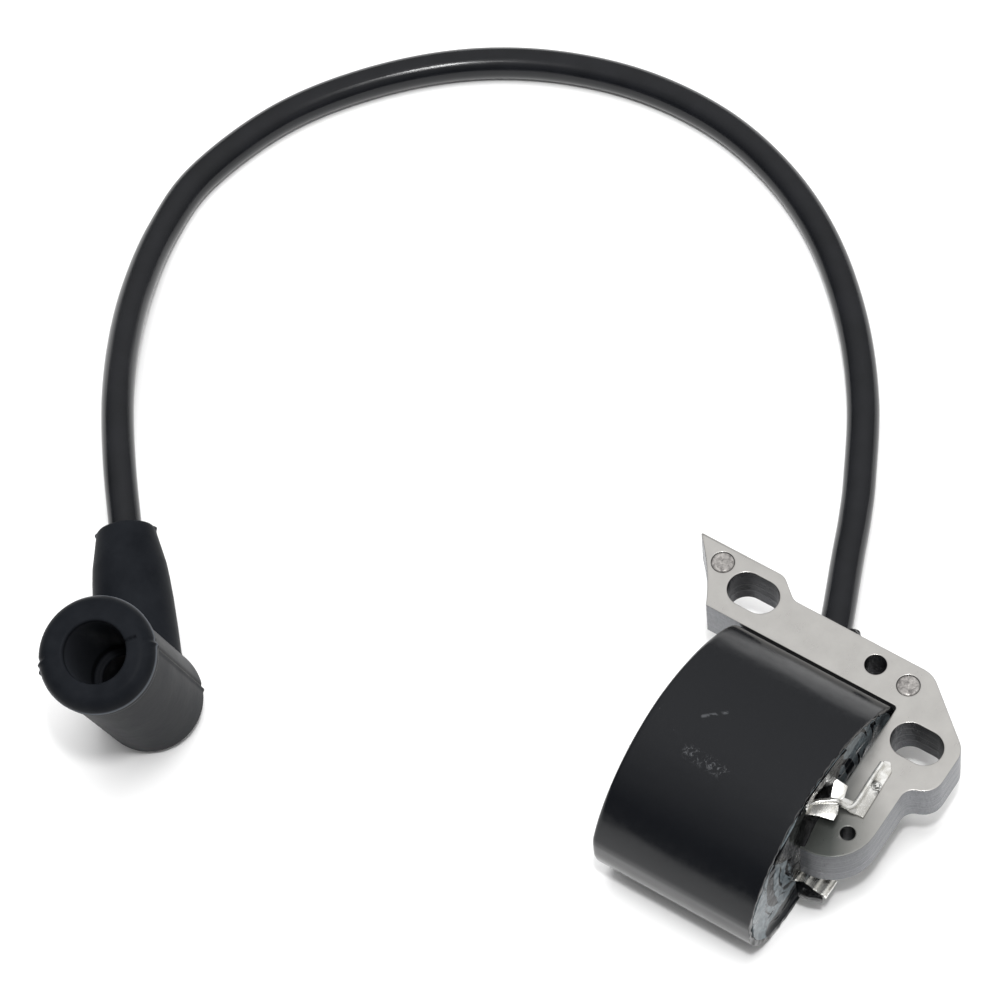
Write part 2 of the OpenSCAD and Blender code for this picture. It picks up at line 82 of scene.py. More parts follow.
CAMERA_AT = Vector((-499.9, -335.1, 1091.7)) * MM
CAMERA_AIM = Vector((2.28, 65.36, TABLE_Z)) * MM
CAMERA_ROLL = math.radians(-6.56)
LENS_MM = 216
SENSOR_MM = 36


def make_camera():
    data = bpy.data.cameras.new("camera")
    data.lens = LENS_MM
    data.sensor_width = SENSOR_MM
    data.clip_start = 0.05
    data.clip_end = 20
    camera = add_object("camera", data)
    camera.location = CAMERA_AT
    look = (CAMERA_AIM - CAMERA_AT).to_track_quat("-Z", "Y")
    camera.rotation_mode = "QUATERNION"
    camera.rotation_quaternion = look @ Quaternion((0, 0, 1), CAMERA_ROLL)
    scene.camera = camera


make_camera()

# ---- curves


def spline(route, steps):
    """Points of a smooth curve through a route, with steps points for each of its stretches."""
    points = [Vector(p) for p in route]
    last = len(points) - 1
    out = []
    for i in range(last):
        a, b, c, d = points[max(i - 1, 0)], points[i], points[i + 1], points[min(i + 2, last)]
        for k in range(steps):
            t = k / steps
            slope = (c - a) * t
            bend = (2 * a - 5 * b + 4 * c - d) * t * t
            twist = (3 * b - 3 * c + d - a) * t**3
            out.append((2 * b + slope + bend + twist) / 2)
    return out + [points[last]]


def evenly(points, step):
    """The same path with points an even step apart."""
    out = [points[0].copy()]
    left = step
    for a, b in zip(points, points[1:]):
        length = (b - a).length
        at = left
        while at <= length:
            out.append(a.lerp(b, at / length))
            at += step
        left = at - length
    if (out[-1] - points[-1]).length > step / 4:
        out.append(points[-1].copy())
    return out


def sweep_frames(path):
    """Side vectors along a path that don't twist: a list of (point, side, other side)."""
    side = Vector((0, 0, 1))
    out = []
    for i, p in enumerate(path):
        heading = (path[min(i + 1, len(path) - 1)] - path[max(i - 1, 0)]).normalized()
        side = (side - side.dot(heading) * heading).normalized()
        out.append((p, side, heading.cross(side)))
    return out


def circle(sides):
    """Cosine and sine of directions evenly round a circle."""
    turns = [math.tau * k / sides for k in range(sides)]
    return [(math.cos(a), math.sin(a)) for a in turns]


def turned_rings(profile, sides):
    """A ring round Z for each (radius, height) of a profile."""
    return [[(r * x, r * y, z) for x, y in circle(sides)] for r, z in profile]


# ---- meshes


def smooth_by_angle(obj, degrees):
    obj.data.shade_smooth()
    obj.data.set_sharp_from_angle(angle=math.radians(degrees))


def face_outwards(mesh, join=False):
    """Turns the faces outwards, and with join first makes one corner of those in one place."""
    bm = bmesh.new()
    bm.from_mesh(mesh)
    if join:
        bmesh.ops.remove_doubles(bm, verts=bm.verts, dist=0.001 * MM)
    bmesh.ops.recalc_face_normals(bm, faces=bm.faces)
    bm.to_mesh(mesh)
    bm.free()


def mesh_object(name, vertices, faces, angle):
    """A piece made of vertices in mm; edges sharper than angle degrees stay sharp."""
    mesh = bpy.data.meshes.new(name)
    mesh.from_pydata([tuple(Vector(v) * MM) for v in vertices], [], faces)
    mesh.validate()
    face_outwards(mesh)
    obj = add_object(name, mesh)
    smooth_by_angle(obj, angle)
    return obj


def tube(name, path, radius, sides):
    """Closed round tube along a path in mm, with a UV map: U round it, V along it in mm."""
    rings = []
    for p, side, other in sweep_frames(path):
        rings.append([p + radius * (x * side + y * other) for x, y in circle(sides)])
    obj = skin(name, rings, 60)
    travel = [0.0]
    for a, b in zip(path, path[1:]):
        travel.append(travel[-1] + (b - a).length)
    uv = obj.data.uv_layers.new(name="along")
    for loop in obj.data.loops:
        ring, k = divmod(min(loop.vertex_index, len(rings) * sides - 1), sides)
        uv.data[loop.index].uv = (abs(2 * k / sides - 1), travel[ring])
    return obj


def skin(name, rings, angle=40, caps=True):
    """Quads between rings of equal length, in mm. The first and last ring are filled, or else joined."""
    n = len(rings[0])
    vertices = [v for ring in rings for v in ring]
    faces = []
    for i in range(len(rings) - 1):
        for k in range(n):
            j = (k + 1) % n
            faces.append((i * n + k, i * n + j, (i + 1) * n + j, (i + 1) * n + k))
    if caps:
        faces.append(tuple(range(n)))
        faces.append(tuple(range(len(vertices) - n, len(vertices))))
    obj = mesh_object(name, vertices, faces, angle)
    if not caps:
        face_outwards(obj.data, join=True)
    return obj


def offset_loop(loop, inset):
    """A plan outline moved towards its material by inset; the material is on its left."""
    n = len(loop)
    out = []
    for i, (x, y) in enumerate(loop):
        ax, ay = loop[i - 1]
        bx, by = loop[(i + 1) % n]
        u = Vector((x - ax, y - ay)).normalized()
        v = Vector((bx - x, by - y)).normalized()
        normal = Vector((-(u.y + v.y), u.x + v.x))
        if normal.length < 1e-6:
            normal = Vector((-u.y, u.x))
        normal.normalize()
        miter = max(0.5, normal.dot(Vector((-u.y, u.x))))
        out.append((x + normal.x * inset / miter, y + normal.y * inset / miter))
    return out


def area(loop):
    return sum(a[0] * b[1] - b[0] * a[1] for a, b in zip(loop, loop[1:] + loop[:1])) / 2


def plate(name, loops, levels, angle):
    """Solid from plan outlines, the outer one first. levels are (z, inset) from bottom to top."""
    turned = []
    for i, loop in enumerate(loops):
        counter_clockwise = area(loop) > 0
        turned.append(loop if counter_clockwise == (i == 0) else loop[::-1])
    vertices, faces, starts = [], [], []
    for loop in turned:
        starts.append(len(vertices))
        n = len(loop)
        for z, inset in levels:
            vertices += [(x, y, z) for x, y in offset_loop(loop, inset)]
        for level in range(len(levels) - 1):
            low = starts[-1] + level * n
            for k in range(n):
                j = (k + 1) % n
                faces.append((low + k, low + j, low + n + j, low + n + k))
    for level in (0, len(levels) - 1):
        rings, index = [], []
        for loop, start in zip(turned, starts):
            first = start + level * len(loop)
            rings.append([Vector(vertices[first + k]) for k in range(len(loop))])
            index += [first + k for k in range(len(loop))]
        for triangle in tessellate_polygon(rings):
            faces.append(tuple(index[k] for k in triangle))
    return mesh_object(name, vertices, faces, angle)


def cad_loops(node, level):
    """Plan outlines of a CAD node's flat face at a height, in mm, the largest first."""
    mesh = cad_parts[node].data

    def plan_point(v):
        return round(v.x / MM, 3), round(v.y / MM, 3)

    edges = {}
    for polygon in mesh.polygons:
        flat = abs(abs(polygon.normal.z) - 1) < 1e-3
        if not flat or abs(polygon.center.z / MM - level) > 0.02:
            continue
        corners = [plan_point(mesh.vertices[i].co) for i in polygon.vertices]
        for a, b in zip(corners, corners[1:] + corners[:1]):
            if (b, a) in edges:
                del edges[(b, a)]
            else:
                edges[(a, b)] = True
    follow = {a: b for a, b in edges}
    loops = []
    while follow:
        start, at = follow.popitem()
        loop = [start]
        while at != start:
            loop.append(at)
            at = follow.pop(at)
        loops.append(loop)
    return sorted(loops, key=lambda loop: -abs(area(loop)))


TIP = 0.02  # radius of the tiny flat where a turned profile meets its axis


def revolve(name, profile, sides, angle=40):
    """Closed solid turned round Z; its profile runs from one end of the axis to the other."""
    return skin(name, turned_rings(profile, sides), angle)


def aim(obj, at, direction):
    """Turns and moves a mesh made round Z, in mm, so that its +Z runs along direction from at."""
    turn = Vector((0, 0, 1)).rotation_difference(Vector(direction)).to_matrix().to_4x4()
    obj.data.transform(turn)
    for v in obj.data.vertices:
        v.co += Vector(at) * MM
    return obj


# ---- materials


class Nodes:
    """Adds nodes to one node tree."""

    def __init__(self, tree):
        self.tree = tree

    def add(self, kind, **settings):
        node = self.tree.nodes.new(kind)
        for key, value in settings.items():
            setattr(node, key, value)
        return node

    def put(self, socket, value):
        """A link from a socket, or a plain value."""
        if hasattr(value, "is_output"):
            self.tree.links.new(value, socket)
        else:
            socket.default_value = value

    def vector(self, operation, a, b, output="Vector"):
        """Vector maths of two sockets or plain vectors."""
        node = self.add("ShaderNodeVectorMath", operation=operation)
        self.put(node.inputs[0], a)
        self.put(node.inputs[1], b)
        return node.outputs[output]

    def math(self, operation, a, b=0.0):
        node = self.add("ShaderNodeMath", operation=operation)
        self.put(node.inputs[0], a)
        self.put(node.inputs[1], b)
        return node.outputs[0]


class Shader(Nodes):
    """A procedural material; mm is its position socket in millimetres."""

    def __init__(self, name, **values):
        self.material = bpy.data.materials.new(name)
        self.material.use_nodes = True
        super().__init__(self.material.node_tree)
        self.bsdf = self.tree.nodes["Principled BSDF"]
        for key, value in values.items():
            self.bsdf.inputs[key.replace("_", " ")].default_value = value
        self.geometry = self.add("ShaderNodeNewGeometry")
        scale = self.add("ShaderNodeVectorMath", operation="SCALE")
        scale.inputs["Scale"].default_value = 1 / MM
        self.put(scale.inputs[0], self.geometry.outputs["Position"])
        self.mm = scale.outputs[0]

    def stretched(self, factors, source=None):
        """The position scaled differently along each axis, for grain."""
        return self.vector("MULTIPLY", source or self.mm, factors)

    def wobbled(self, scale, reach):
        """The position shifted by up to about half of reach mm, for an uneven edge."""
        cells = self.add("ShaderNodeTexNoise")
        self.put(cells.inputs["Vector"], self.mm)
        cells.inputs["Scale"].default_value = scale
        centred = self.vector("SUBTRACT", cells.outputs["Color"], (0.5, 0.5, 0.5))
        return self.vector("ADD", self.mm, self.vector("MULTIPLY", centred, (reach, reach, reach)))

    def noise(self, scale, detail=3.0, roughness=0.55, source=None, distortion=0.0):
        """Noise of about scale cycles in a millimetre."""
        node = self.add("ShaderNodeTexNoise")
        self.put(node.inputs["Vector"], source or self.mm)
        node.inputs["Scale"].default_value = scale
        node.inputs["Detail"].default_value = detail
        node.inputs["Roughness"].default_value = roughness
        node.inputs["Distortion"].default_value = distortion
        return node.outputs["Fac"]

    def ramp(self, value, low, high, to_low=0.0, to_high=1.0):
        """value taken from low..high to to_low..to_high, and held there outside it."""
        node = self.add("ShaderNodeMapRange")
        node.clamp = True
        self.put(node.inputs["Value"], value)
        limits = {"From Min": low, "From Max": high, "To Min": to_low, "To Max": to_high}
        for key, number in limits.items():
            node.inputs[key].default_value = number
        return node.outputs["Result"]

    def mix(self, factor, a, b):
        """Colour from a to b by factor."""
        node = self.add("ShaderNodeMix", data_type="RGBA")
        self.put(node.inputs["Factor"], factor)
        for socket, colour in ((node.inputs[6], a), (node.inputs[7], b)):
            self.put(socket, colour if hasattr(colour, "is_output") else (*colour, 1.0))
        return node.outputs[2]

    def height(self, value, distance_mm, strength=1.0, below=None):
        """Bump of a height in mm, on top of the bump given as below."""
        node = self.add("ShaderNodeBump")
        node.inputs["Strength"].default_value = strength
        node.inputs["Distance"].default_value = distance_mm * MM
        self.put(node.inputs["Height"], value)
        if below is not None:
            self.put(node.inputs["Normal"], below)
        return node.outputs["Normal"]

    def near(self, start, end, inner, outer, source=None):
        """1 within inner mm of a line between two points, falling to 0 at outer mm."""
        a, b = Vector(start), Vector(end)
        along = b - a
        offset = self.vector("SUBTRACT", source or self.mm, a)
        share = self.vector("DOT_PRODUCT", offset, along / along.length_squared, "Value")
        place = self.ramp(share, 0, 1)
        foot = self.add("ShaderNodeVectorMath", operation="SCALE")
        foot.inputs[0].default_value = along
        self.put(foot.inputs["Scale"], place)
        gap = self.vector("DISTANCE", offset, foot.outputs[0], "Value")
        return self.ramp(gap, inner, outer, 1.0, 0.0)

    def facing(self, axis):
        """One coordinate of the surface's own normal."""
        node = self.add("ShaderNodeSeparateXYZ")
        self.put(node.inputs[0], self.geometry.outputs["Normal"])
        return node.outputs[axis]

    def finish(self, colour, roughness, normal=None):
        self.put(self.bsdf.inputs["Base Color"], colour)
        self.put(self.bsdf.inputs["Roughness"], roughness)
        if normal is not None:
            self.put(self.bsdf.inputs["Normal"], normal)
        return self.material


# the core's slots and holes: centre in plan, half of the straight length along Y, radius
BORES = (
    ((0.0, 0.0), 1.7, 4.0),
    ((-12.7, -46.8), 1.7, 4.0),
    ((-1.4, -30.2), 0.0, 2.3),
    ((-37.3, -45.3), 0.0, 1.55),
)


def core_steel():
    """Satin electrical steel: rolled grain on the faces; painted shade on the side faces and on the
    walls of its slots and holes, and a painted reflection of the dark housing near the resin.
    """
    s = Shader("core_steel", Metallic=0.85)
    cloud = s.noise(0.22, 4.0, 0.6)
    speck = s.noise(2.6, 3.0, 0.65)
    grain = s.noise(1.0, 4.0, 0.6, s.stretched((0.35, 3.2, 1.0)))
    face = s.mix(s.ramp(cloud, 0.3, 0.72), (0.52, 0.508, 0.488), (0.575, 0.563, 0.54))
    face = s.mix(s.ramp(speck, 0.56, 0.72, 0.0, 0.2), face, (0.44, 0.43, 0.41))
    # painted shade: the side faces get a much darker copy of the steel than the flat faces, with the cut
    # edges' grain in it
    edge = s.mix(s.ramp(grain, 0.35, 0.7), (0.15, 0.155, 0.165), (0.205, 0.21, 0.22))
    # painted shade on the walls of the slots and holes, near black at their middle
    plan = s.stretched((1, 1, 0))
    bore_shade = 0.0
    for (x, y), reach, radius in BORES:
        start, end = (x, y - reach, 0), (x, y + reach + 0.01, 0)
        wall = s.near(start, end, radius + 0.25, radius + 0.6, plan)
        bore_shade = s.math("MAXIMUM", bore_shade, wall)
    edge = s.mix(s.math("MULTIPLY", bore_shade, 0.75), edge, (0.02, 0.021, 0.025))
    # painted reflection of the dark housing: the leg's top and sides darker near the resin
    by_resin = s.near((-48, -42, 10.5), (-40, -38, 10.5), 4.5, 17.0)
    housing_reflection = s.math("MULTIPLY", by_resin, s.ramp(cloud, 0.0, 0.35))
    face = s.mix(housing_reflection, face, (0.10, 0.107, 0.10))
    edge = s.mix(s.math("MULTIPLY", housing_reflection, 0.6), edge, (0.05, 0.052, 0.055))
    # painted shade: flat faces take the face colour, side faces the darker shaded colour
    up = s.math("ABSOLUTE", s.facing("Z"))
    colour = s.mix(s.ramp(up, 0.5, 0.9), edge, face)
    rough = s.ramp(s.math("ADD", cloud, grain), 0.7, 1.3, 0.27, 0.36)
    fine = s.height(s.noise(7.0, 2.0, 0.6), 0.006, 0.5)
    rolled = s.height(grain, 0.012, 0.4, fine)
    return s.finish(colour, rough, rolled)


def rivet_steel():
    s = Shader("rivet_steel", Metallic=0.7)
    dents = s.noise(1.1, 3.0, 0.6, distortion=0.6)
    colour = s.mix(s.ramp(dents, 0.35, 0.65), (0.20, 0.19, 0.185), (0.50, 0.48, 0.46))
    return s.finish(colour, s.ramp(dents, 0.3, 0.7, 0.55, 0.32), s.height(dents, 0.16, 0.8))


def gloss_black():
    """Moulded black plastic, glossy, with fine scuffs and a slow ripple."""
    s = Shader("gloss_black", IOR=1.40)
    ripple = s.noise(0.10, 2.0, 0.5, s.stretched((1.0, 0.35, 1.0)))
    dust = s.noise(3.4, 3.0, 0.7)
    streak = s.noise(1.0, 3.0, 0.6, s.stretched((1.5, 0.5, 1.5)), 0.5)
    fleck = s.noise(1.1, 4.0, 0.7, distortion=0.8)
    marks = s.near((-44.3, -12.5, 24.9), (-44.6, -20.5, 24.9), 0.2, 1.9)
    marks = s.math("MULTIPLY", marks, s.ramp(fleck, 0.54, 0.60))
    line = s.near((-36.5, -11.0, 26.0), (-33.2, -14.6, 25.8), 0.1, 0.5)
    line = s.math("MULTIPLY", line, s.ramp(streak, 0.42, 0.55))
    rare = s.math("MULTIPLY", s.ramp(fleck, 0.715, 0.74), 0.5)
    scuff = s.math("MAXIMUM", s.math("MAXIMUM", marks, line), rare)
    colour = s.mix(s.ramp(dust, 0.5, 0.75), (0.0034, 0.004, 0.0054), (0.006, 0.0068, 0.0088))
    colour = s.mix(s.math("MULTIPLY", scuff, 0.6), colour, (0.085, 0.088, 0.095))
    rough = s.ramp(s.noise(0.5, 4.0, 0.65), 0.3, 0.75, 0.15, 0.24)
    rough = s.math("ADD", rough, s.math("MULTIPLY", scuff, 0.3))
    normal = s.height(ripple, 0.5, 0.4)
    normal = s.height(dust, 0.008, 0.35, normal)
    return s.finish(colour, rough, normal)


def cast_resin():
    """Cast grey resin with a glassy skin, dark smears of sealant and a band of painted shade low down.
    """
    s = Shader("cast_resin", IOR=1.2, Coat_Weight=0.15, Coat_Roughness=0.05)
    uv = s.add("ShaderNodeUVMap", uv_map="along")
    swirl = s.noise(0.33, 3.0, 0.55, distortion=1.6)
    smear = s.noise(1.0, 1.5, 0.5, s.stretched((0.06, 0.5, 1.0), uv.outputs["UV"]), 0.7)
    grey = s.mix(s.ramp(swirl, 0.35, 0.68), (0.105, 0.124, 0.136), (0.195, 0.228, 0.244))
    wobbly = s.wobbled(0.45, 2.4)
    # painted shade: a dark band along the lower part of the resin's window
    lower = s.near((-41.0, -37.8, -9.6), (-57.5, -37.8, -10.2), 2.6, 3.4, wobbly)
    # dark holds both the sealant smears and the painted shade band
    dark = s.math("MAXIMUM", s.ramp(smear, 0.56, 0.59), lower)
    colour = s.mix(dark, grey, (0.005, 0.006, 0.008))
    rough = s.ramp(swirl, 0.3, 0.7, 0.10, 0.22)
    normal = s.height(smear, 0.5, 0.5)
    return s.finish(colour, rough, normal)


def wet_sealant():
    s = Shader("wet_sealant", IOR=1.42)
    lump = s.noise(0.8, 3.0, 0.55, distortion=0.5)
    colour = s.mix(s.ramp(lump, 0.4, 0.7), (0.0012, 0.0013, 0.0016), (0.004, 0.0043, 0.005))
    return s.finish(colour, s.ramp(lump, 0.3, 0.7, 0.03, 0.07), s.height(lump, 0.45, 0.6))


def tinned():
    """Bright tin on brass, darker at the weld, along the fold at the pad's end and near the tab's left
    end.
    """
    s = Shader("tinned", Metallic=0.85)
    worn = s.noise(0.45, 3.0, 0.55, distortion=0.8)
    grain = s.noise(1.0, 3.0, 0.6, s.stretched((0.5, 3.0, 3.0)))
    # darker at the weld and along the fold at the pad's end
    by_weld = s.near((-24.6, -43.6, 11.0), (-26.5, -46.2, 11.0), 0.3, 1.3)
    by_fold = s.near((-33.5, -40.9, 13.2), (-35.2, -42.0, 13.0), 0.2, 1.0)
    darker_weld_and_fold = s.math("MAXIMUM", by_weld, by_fold)
    darker_weld_and_fold = s.math("MULTIPLY", darker_weld_and_fold, s.ramp(s.noise(1.3, 3.0, 0.6), 0.40, 0.52))
    colour = s.mix(s.ramp(worn, 0.42, 0.62), (0.97, 0.965, 0.94), (0.72, 0.705, 0.66))
    # darker near the tab's left end
    darker_tab_end = s.near((-33.5, -45.8, 11.0), (-29.0, -46.2, 11.0), 0.4, 3.2)
    colour = s.mix(s.math("MULTIPLY", darker_tab_end, 0.75), colour, (0.36, 0.35, 0.325))
    colour = s.mix(s.math("MULTIPLY", darker_weld_and_fold, 0.9), colour, (0.10, 0.10, 0.095))
    rough = s.ramp(s.math("ADD", worn, grain), 0.7, 1.35, 0.16, 0.34)
    return s.finish(colour, rough, s.height(worn, 0.09, 0.5, s.height(grain, 0.008, 0.4)))


def lead_rubber():
    """Extruded jacket: satin, with faint lines along it."""
    s = Shader("lead_rubber", IOR=1.40)
    uv = s.add("ShaderNodeUVMap", uv_map="along")
    lines = s.noise(1.0, 2.0, 0.5, s.stretched((26.0, 0.05, 1.0), uv.outputs["UV"]))
    bloom = s.noise(0.12, 4.0, 0.6)
    fine = s.noise(4.0, 3.0, 0.7)
    colour = s.mix(s.ramp(bloom, 0.35, 0.7), (0.0035, 0.004, 0.0052), (0.0065, 0.007, 0.009))
    colour = s.mix(s.ramp(fine, 0.62, 0.8, 0.0, 0.5), colour, (0.015, 0.0155, 0.0175))
    rough = s.ramp(s.math("ADD", bloom, fine), 0.7, 1.4, 0.17, 0.26)
    return s.finish(colour, rough, s.height(fine, 0.02, 0.4, s.height(lines, 0.05, 0.5)))


def boot_rubber():
    """Moulded rubber with a fine stipple: a bore lightened as painted light, a painted highlight round
    the rim and painted shade beside the seam.
    """
    s = Shader("boot_rubber", IOR=1.08)
    bloom = s.noise(0.11, 4.0, 0.62)
    stipple = s.noise(2.6, 3.0, 0.65)
    colour = s.mix(s.ramp(bloom, 0.35, 0.7), (0.0075, 0.0085, 0.0105), (0.0125, 0.0138, 0.0165))
    worn = s.math("ADD", bloom, s.math("MULTIPLY", stipple, 0.25))
    rough = s.ramp(worn, 0.45, 0.85, 0.36, 0.44)
    # painted light: the bore's wall is lighter than the rest of the rubber
    bore_light = [HEEL + d * BARREL_DIR for d in (31.5, 51.5)]
    colour = s.mix(s.near(*bore_light, PLUG_R + 0.1, PLUG_R + 0.35), colour, (0.034, 0.037, 0.044))
    # painted highlight: a lighter band round the rim's lower edge, kept off the bore
    up = s.vector("DOT_PRODUCT", s.vector("SUBTRACT", s.mm, HEEL), BARREL_DIR, "Value")
    edge = s.math("MULTIPLY", s.ramp(up, 50.6, 50.95), s.ramp(up, 51.5, 51.9, 1.0, 0.0))
    inside = s.near(HEEL, HEEL + 54.0 * BARREL_DIR, 10.0, 12.0)
    edge = s.math("MULTIPLY", edge, s.ramp(inside, 0.0, 0.5, 1.0, 0.0))
    colour = s.mix(edge, colour, (0.085, 0.093, 0.105))
    # painted shade in the groove beside the mould's seam
    foot = HEEL - (BARREL_R - 0.1) * SEAM_SIDE + 0.7 * SEAM_ACROSS
    seam = [foot + d * BARREL_DIR for d in (2.5, 48.0)]
    colour = s.mix(s.near(*seam, 0.28, 0.5), colour, (0.0015, 0.0017, 0.002))
    normal = s.height(s.noise(0.45, 2.0, 0.5), 0.06, 0.4)
    return s.finish(colour, rough, s.height(stipple, 0.003, 0.45, normal))


def bright_wire():
    s = Shader("bright_wire", Metallic=1.0)
    drawn = s.noise(2.0, 3.0, 0.6)
    colour = s.mix(drawn, (0.55, 0.55, 0.54), (0.78, 0.78, 0.77))
    return s.finish(colour, s.ramp(drawn, 0.3, 0.7, 0.14, 0.28), s.height(drawn, 0.03, 0.4))


def speckled(name, dark, light, roughness, metallic=0.0, scale=1.2):
    """Plain finish with a fine grain, for the pieces hidden inside the others."""
    s = Shader(name, Metallic=metallic)
    grain = s.noise(scale, 4.0, 0.6)
    rough = s.ramp(grain, 0.3, 0.7, roughness - 0.06, roughness + 0.08)
    return s.finish(s.mix(grain, dark, light), rough, s.height(grain, 0.05, 0.4))


sealant = wet_sealant()
tin = tinned()
bobbin = speckled("bobbin_nylon", (0.60, 0.58, 0.50), (0.74, 0.72, 0.65), 0.5)
copper = speckled("enamelled_copper", (0.50, 0.20, 0.07), (0.74, 0.36, 0.16), 0.3, 0.9, 3.0)
chip = speckled("moulded_chip", (0.03, 0.03, 0.032), (0.06, 0.06, 0.064), 0.55)

FINISHES = {
    "core_stack": core_steel(),
    "core_rivets": rivet_steel(),
    "housing_shell": gloss_black(),
    "potting_resin": cast_resin(),
    "leg_seal": sealant,
    "stop_terminal_block": sealant,
    "tower_seal": sealant,
    "ground_strap": tin,
    "strap_weld": tin,
    "stop_terminal": tin,
    "lead_insulation": lead_rubber(),
    "boot_shell": boot_rubber(),
    "boot_spring": bright_wire(),
    "primary_bobbin": bobbin,
    "secondary_bobbin": bobbin,
    "primary_winding": copper,
    "secondary_winding": copper,
    "board_wires": copper,
    "ht_link_wire": copper,
    "lead_conductor": copper,
    "power_transistor": chip,
    "control_thyristor": chip,
    "winding_tape": speckled("polyester_tape", (0.78, 0.66, 0.22), (0.88, 0.80, 0.40), 0.4),
    "circuit_board": speckled("solder_mask", (0.03, 0.16, 0.07), (0.08, 0.28, 0.13), 0.4),
    "board_resistors": speckled("resistor_lacquer", (0.52, 0.38, 0.24), (0.66, 0.5, 0.34), 0.3),
    "board_capacitor": speckled("capacitor_dip", (0.48, 0.17, 0.06), (0.62, 0.27, 0.12), 0.25),
    "ht_contact_pin": speckled("turned_brass", (0.70, 0.50, 0.20), (0.82, 0.64, 0.32), 0.25, 1.0),
}


def dress(obj, material):
    obj.data.materials.clear()
    obj.data.materials.append(material)


for name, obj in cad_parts.items():
    dress(obj, FINISHES[name])


def piece(obj, node):
    """A new piece stands for a CAD node and takes that node's finish."""
    dress(obj, FINISHES[node])
    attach(obj, BODY)
    return obj


# ---- lead

OUT_OF_TOWER = [(25.5, -7, -8), (35, -3, -9.2)]
ON_TABLE = [
    (44.5, 1.5), (61.5, 11), (77.5, 23.5), (91.5, 39), (101, 56), (106, 75), (105.5, 95.5),
    (99.5, 115.5), (89, 133), (74, 148), (56.5, 159), (35.5, 165),
]
UP_TO_BOOT = [(19, 164, -8.9), (3, 159, -5.7), (-11.5, 152, -1.5), (-26, 143, 3), (-39.5, 133, 5.3)]
LEAD_ROUTE = [TOWER_MOUTH + d * TOWER_DIR for d in (-10.8, -5, 0, 7)]
LEAD_ROUTE += OUT_OF_TOWER + [(x, y, LEAD_Z) for x, y in ON_TABLE] + UP_TO_BOOT
LEAD_ROUTE += [ELBOW + d * ARM_DIR for d in (ARM_L + 2, 28, 18, 9.5)]


lead_path = evenly(spline(LEAD_ROUTE, 12), 1.2)
lead = tube("lead_jacket", lead_path, LEAD_D / 2, 40)
piece(lead, "lead_insulation")
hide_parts("lead_insulation")

# ---- core

CORE_T = 10.5
SHEETS = 21


def core_levels():
    """Levels of the stack: a fine groove between sheets, and sheets a little out of line."""
    rng = random.Random(5)
    pitch = CORE_T / SHEETS
    groove, lip = 0.045, 0.07
    levels = []
    for i in range(SHEETS):
        z, shift = i * pitch, rng.uniform(0.0, 0.025)
        levels += [(z, groove + shift), (z + lip, shift), (z + pitch - lip, shift)]
    top = [(CORE_T - 0.15, 0.0), (CORE_T - 0.05, 0.04), (CORE_T, 0.14), (CORE_T, 0.4)]
    return [(0.0, 0.4)] + levels[:-1] + top


core = plate("core_laminations", cad_loops("core_stack", CORE_T), core_levels(), 50)
piece(core, "core_stack")
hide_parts("core_stack")


def rivet(name, at, seed):
    """A peened rivet through the core: a low crowned head with an uneven face."""
    rng = random.Random(seed)
    shift = Vector((rng.uniform(-50, 50), rng.uniform(-50, 50), 0))
    head_z = CORE_T + 0.1
    profile = [(TIP, 0.05), (2.0, 0.05), (2.36, 0.2), (2.4, 0.4), (2.4, CORE_T - 0.25)]
    profile += [(2.34, CORE_T - 0.1), (2.22, CORE_T + 0.02), (2.0, head_z)]
    profile += [(r, head_z + 0.03 * (2.0 - r)) for r in (1.7, 1.4, 1.1, 0.8, 0.5, 0.25, TIP)]
    obj = revolve(name, profile, 64, 35)
    for v in obj.data.vertices:
        p = v.co / MM
        if p.z > CORE_T:
            v.co.z += 0.08 * MM * noise.noise(p * 0.9 + shift)
        v.co += Vector((*at, 0)) * MM
    return obj


RIVETS = ((2.9, 9.2), (-2.1, -38.4))

for number, at in enumerate(RIVETS):
    head = piece(rivet(f"rivet_{number}", at, number + 1), "core_rivets")
    if number == 0:
        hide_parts("core_rivets")

# ---- boot


def combine(base, others, operation):
    """Boolean of closed meshes, applied to base one after another."""
    base.data.transform(Matrix.Scale(1 / MM, 4))
    for other in others:
        other.data.transform(Matrix.Scale(1 / MM, 4))
        step = base.modifiers.new("combine", "BOOLEAN")
        step.operation = operation
        step.solver = "MANIFOLD"
        step.object = other
        apply_modifiers(base)
        bpy.data.objects.remove(other)
    base.data.transform(Matrix.Scale(MM, 4))


def apply_modifiers(obj):
    bpy.context.view_layer.update()
    made = obj.evaluated_get(bpy.context.evaluated_depsgraph_get())
    mesh = bpy.data.meshes.new_from_object(made)
    obj.modifiers.clear()
    old = obj.data
    obj.data = mesh
    mesh.name = old.name
    bpy.data.meshes.remove(old)


def one_moulding(obj, voxel, passes):
    """Remeshes a solid evenly and softens its corners in some passes; voxel is in mm."""
    obj.data.transform(Matrix.Scale(1 / MM, 4))
    remesh = obj.modifiers.new("remesh", "REMESH")
    remesh.mode = "VOXEL"
    remesh.voxel_size = voxel
    soften = obj.modifiers.new("soften", "SMOOTH")
    soften.factor = 0.5
    soften.iterations = passes
    apply_modifiers(obj)
    obj.data.transform(Matrix.Scale(MM, 4))


def barrel_profile():
    """The boot's barrel, solid: a round-edged closed end, and a mouth with a domed rim."""
    edge = 2.6
    face_r = 9.0
    profile = [(TIP, 0.0), (BARREL_R - edge, 0.0)]
    for k in range(1, 7):
        a = math.radians(-90 + 15 * k)
        profile.append((BARREL_R - edge + edge * math.cos(a), edge + edge * math.sin(a)))
    profile += [(BARREL_R, RIM_Z - 3.2), (MOUTH_R - 0.15, RIM_Z - 2.3), (MOUTH_R, RIM_Z - 2.0)]
    for k in range(10):
        a = math.radians(10 * k)
        profile.append((face_r + (MOUTH_R - face_r) * math.cos(a), RIM_Z + RIM_H * math.sin(a)))
    return profile + [(TIP, BARREL_L)]


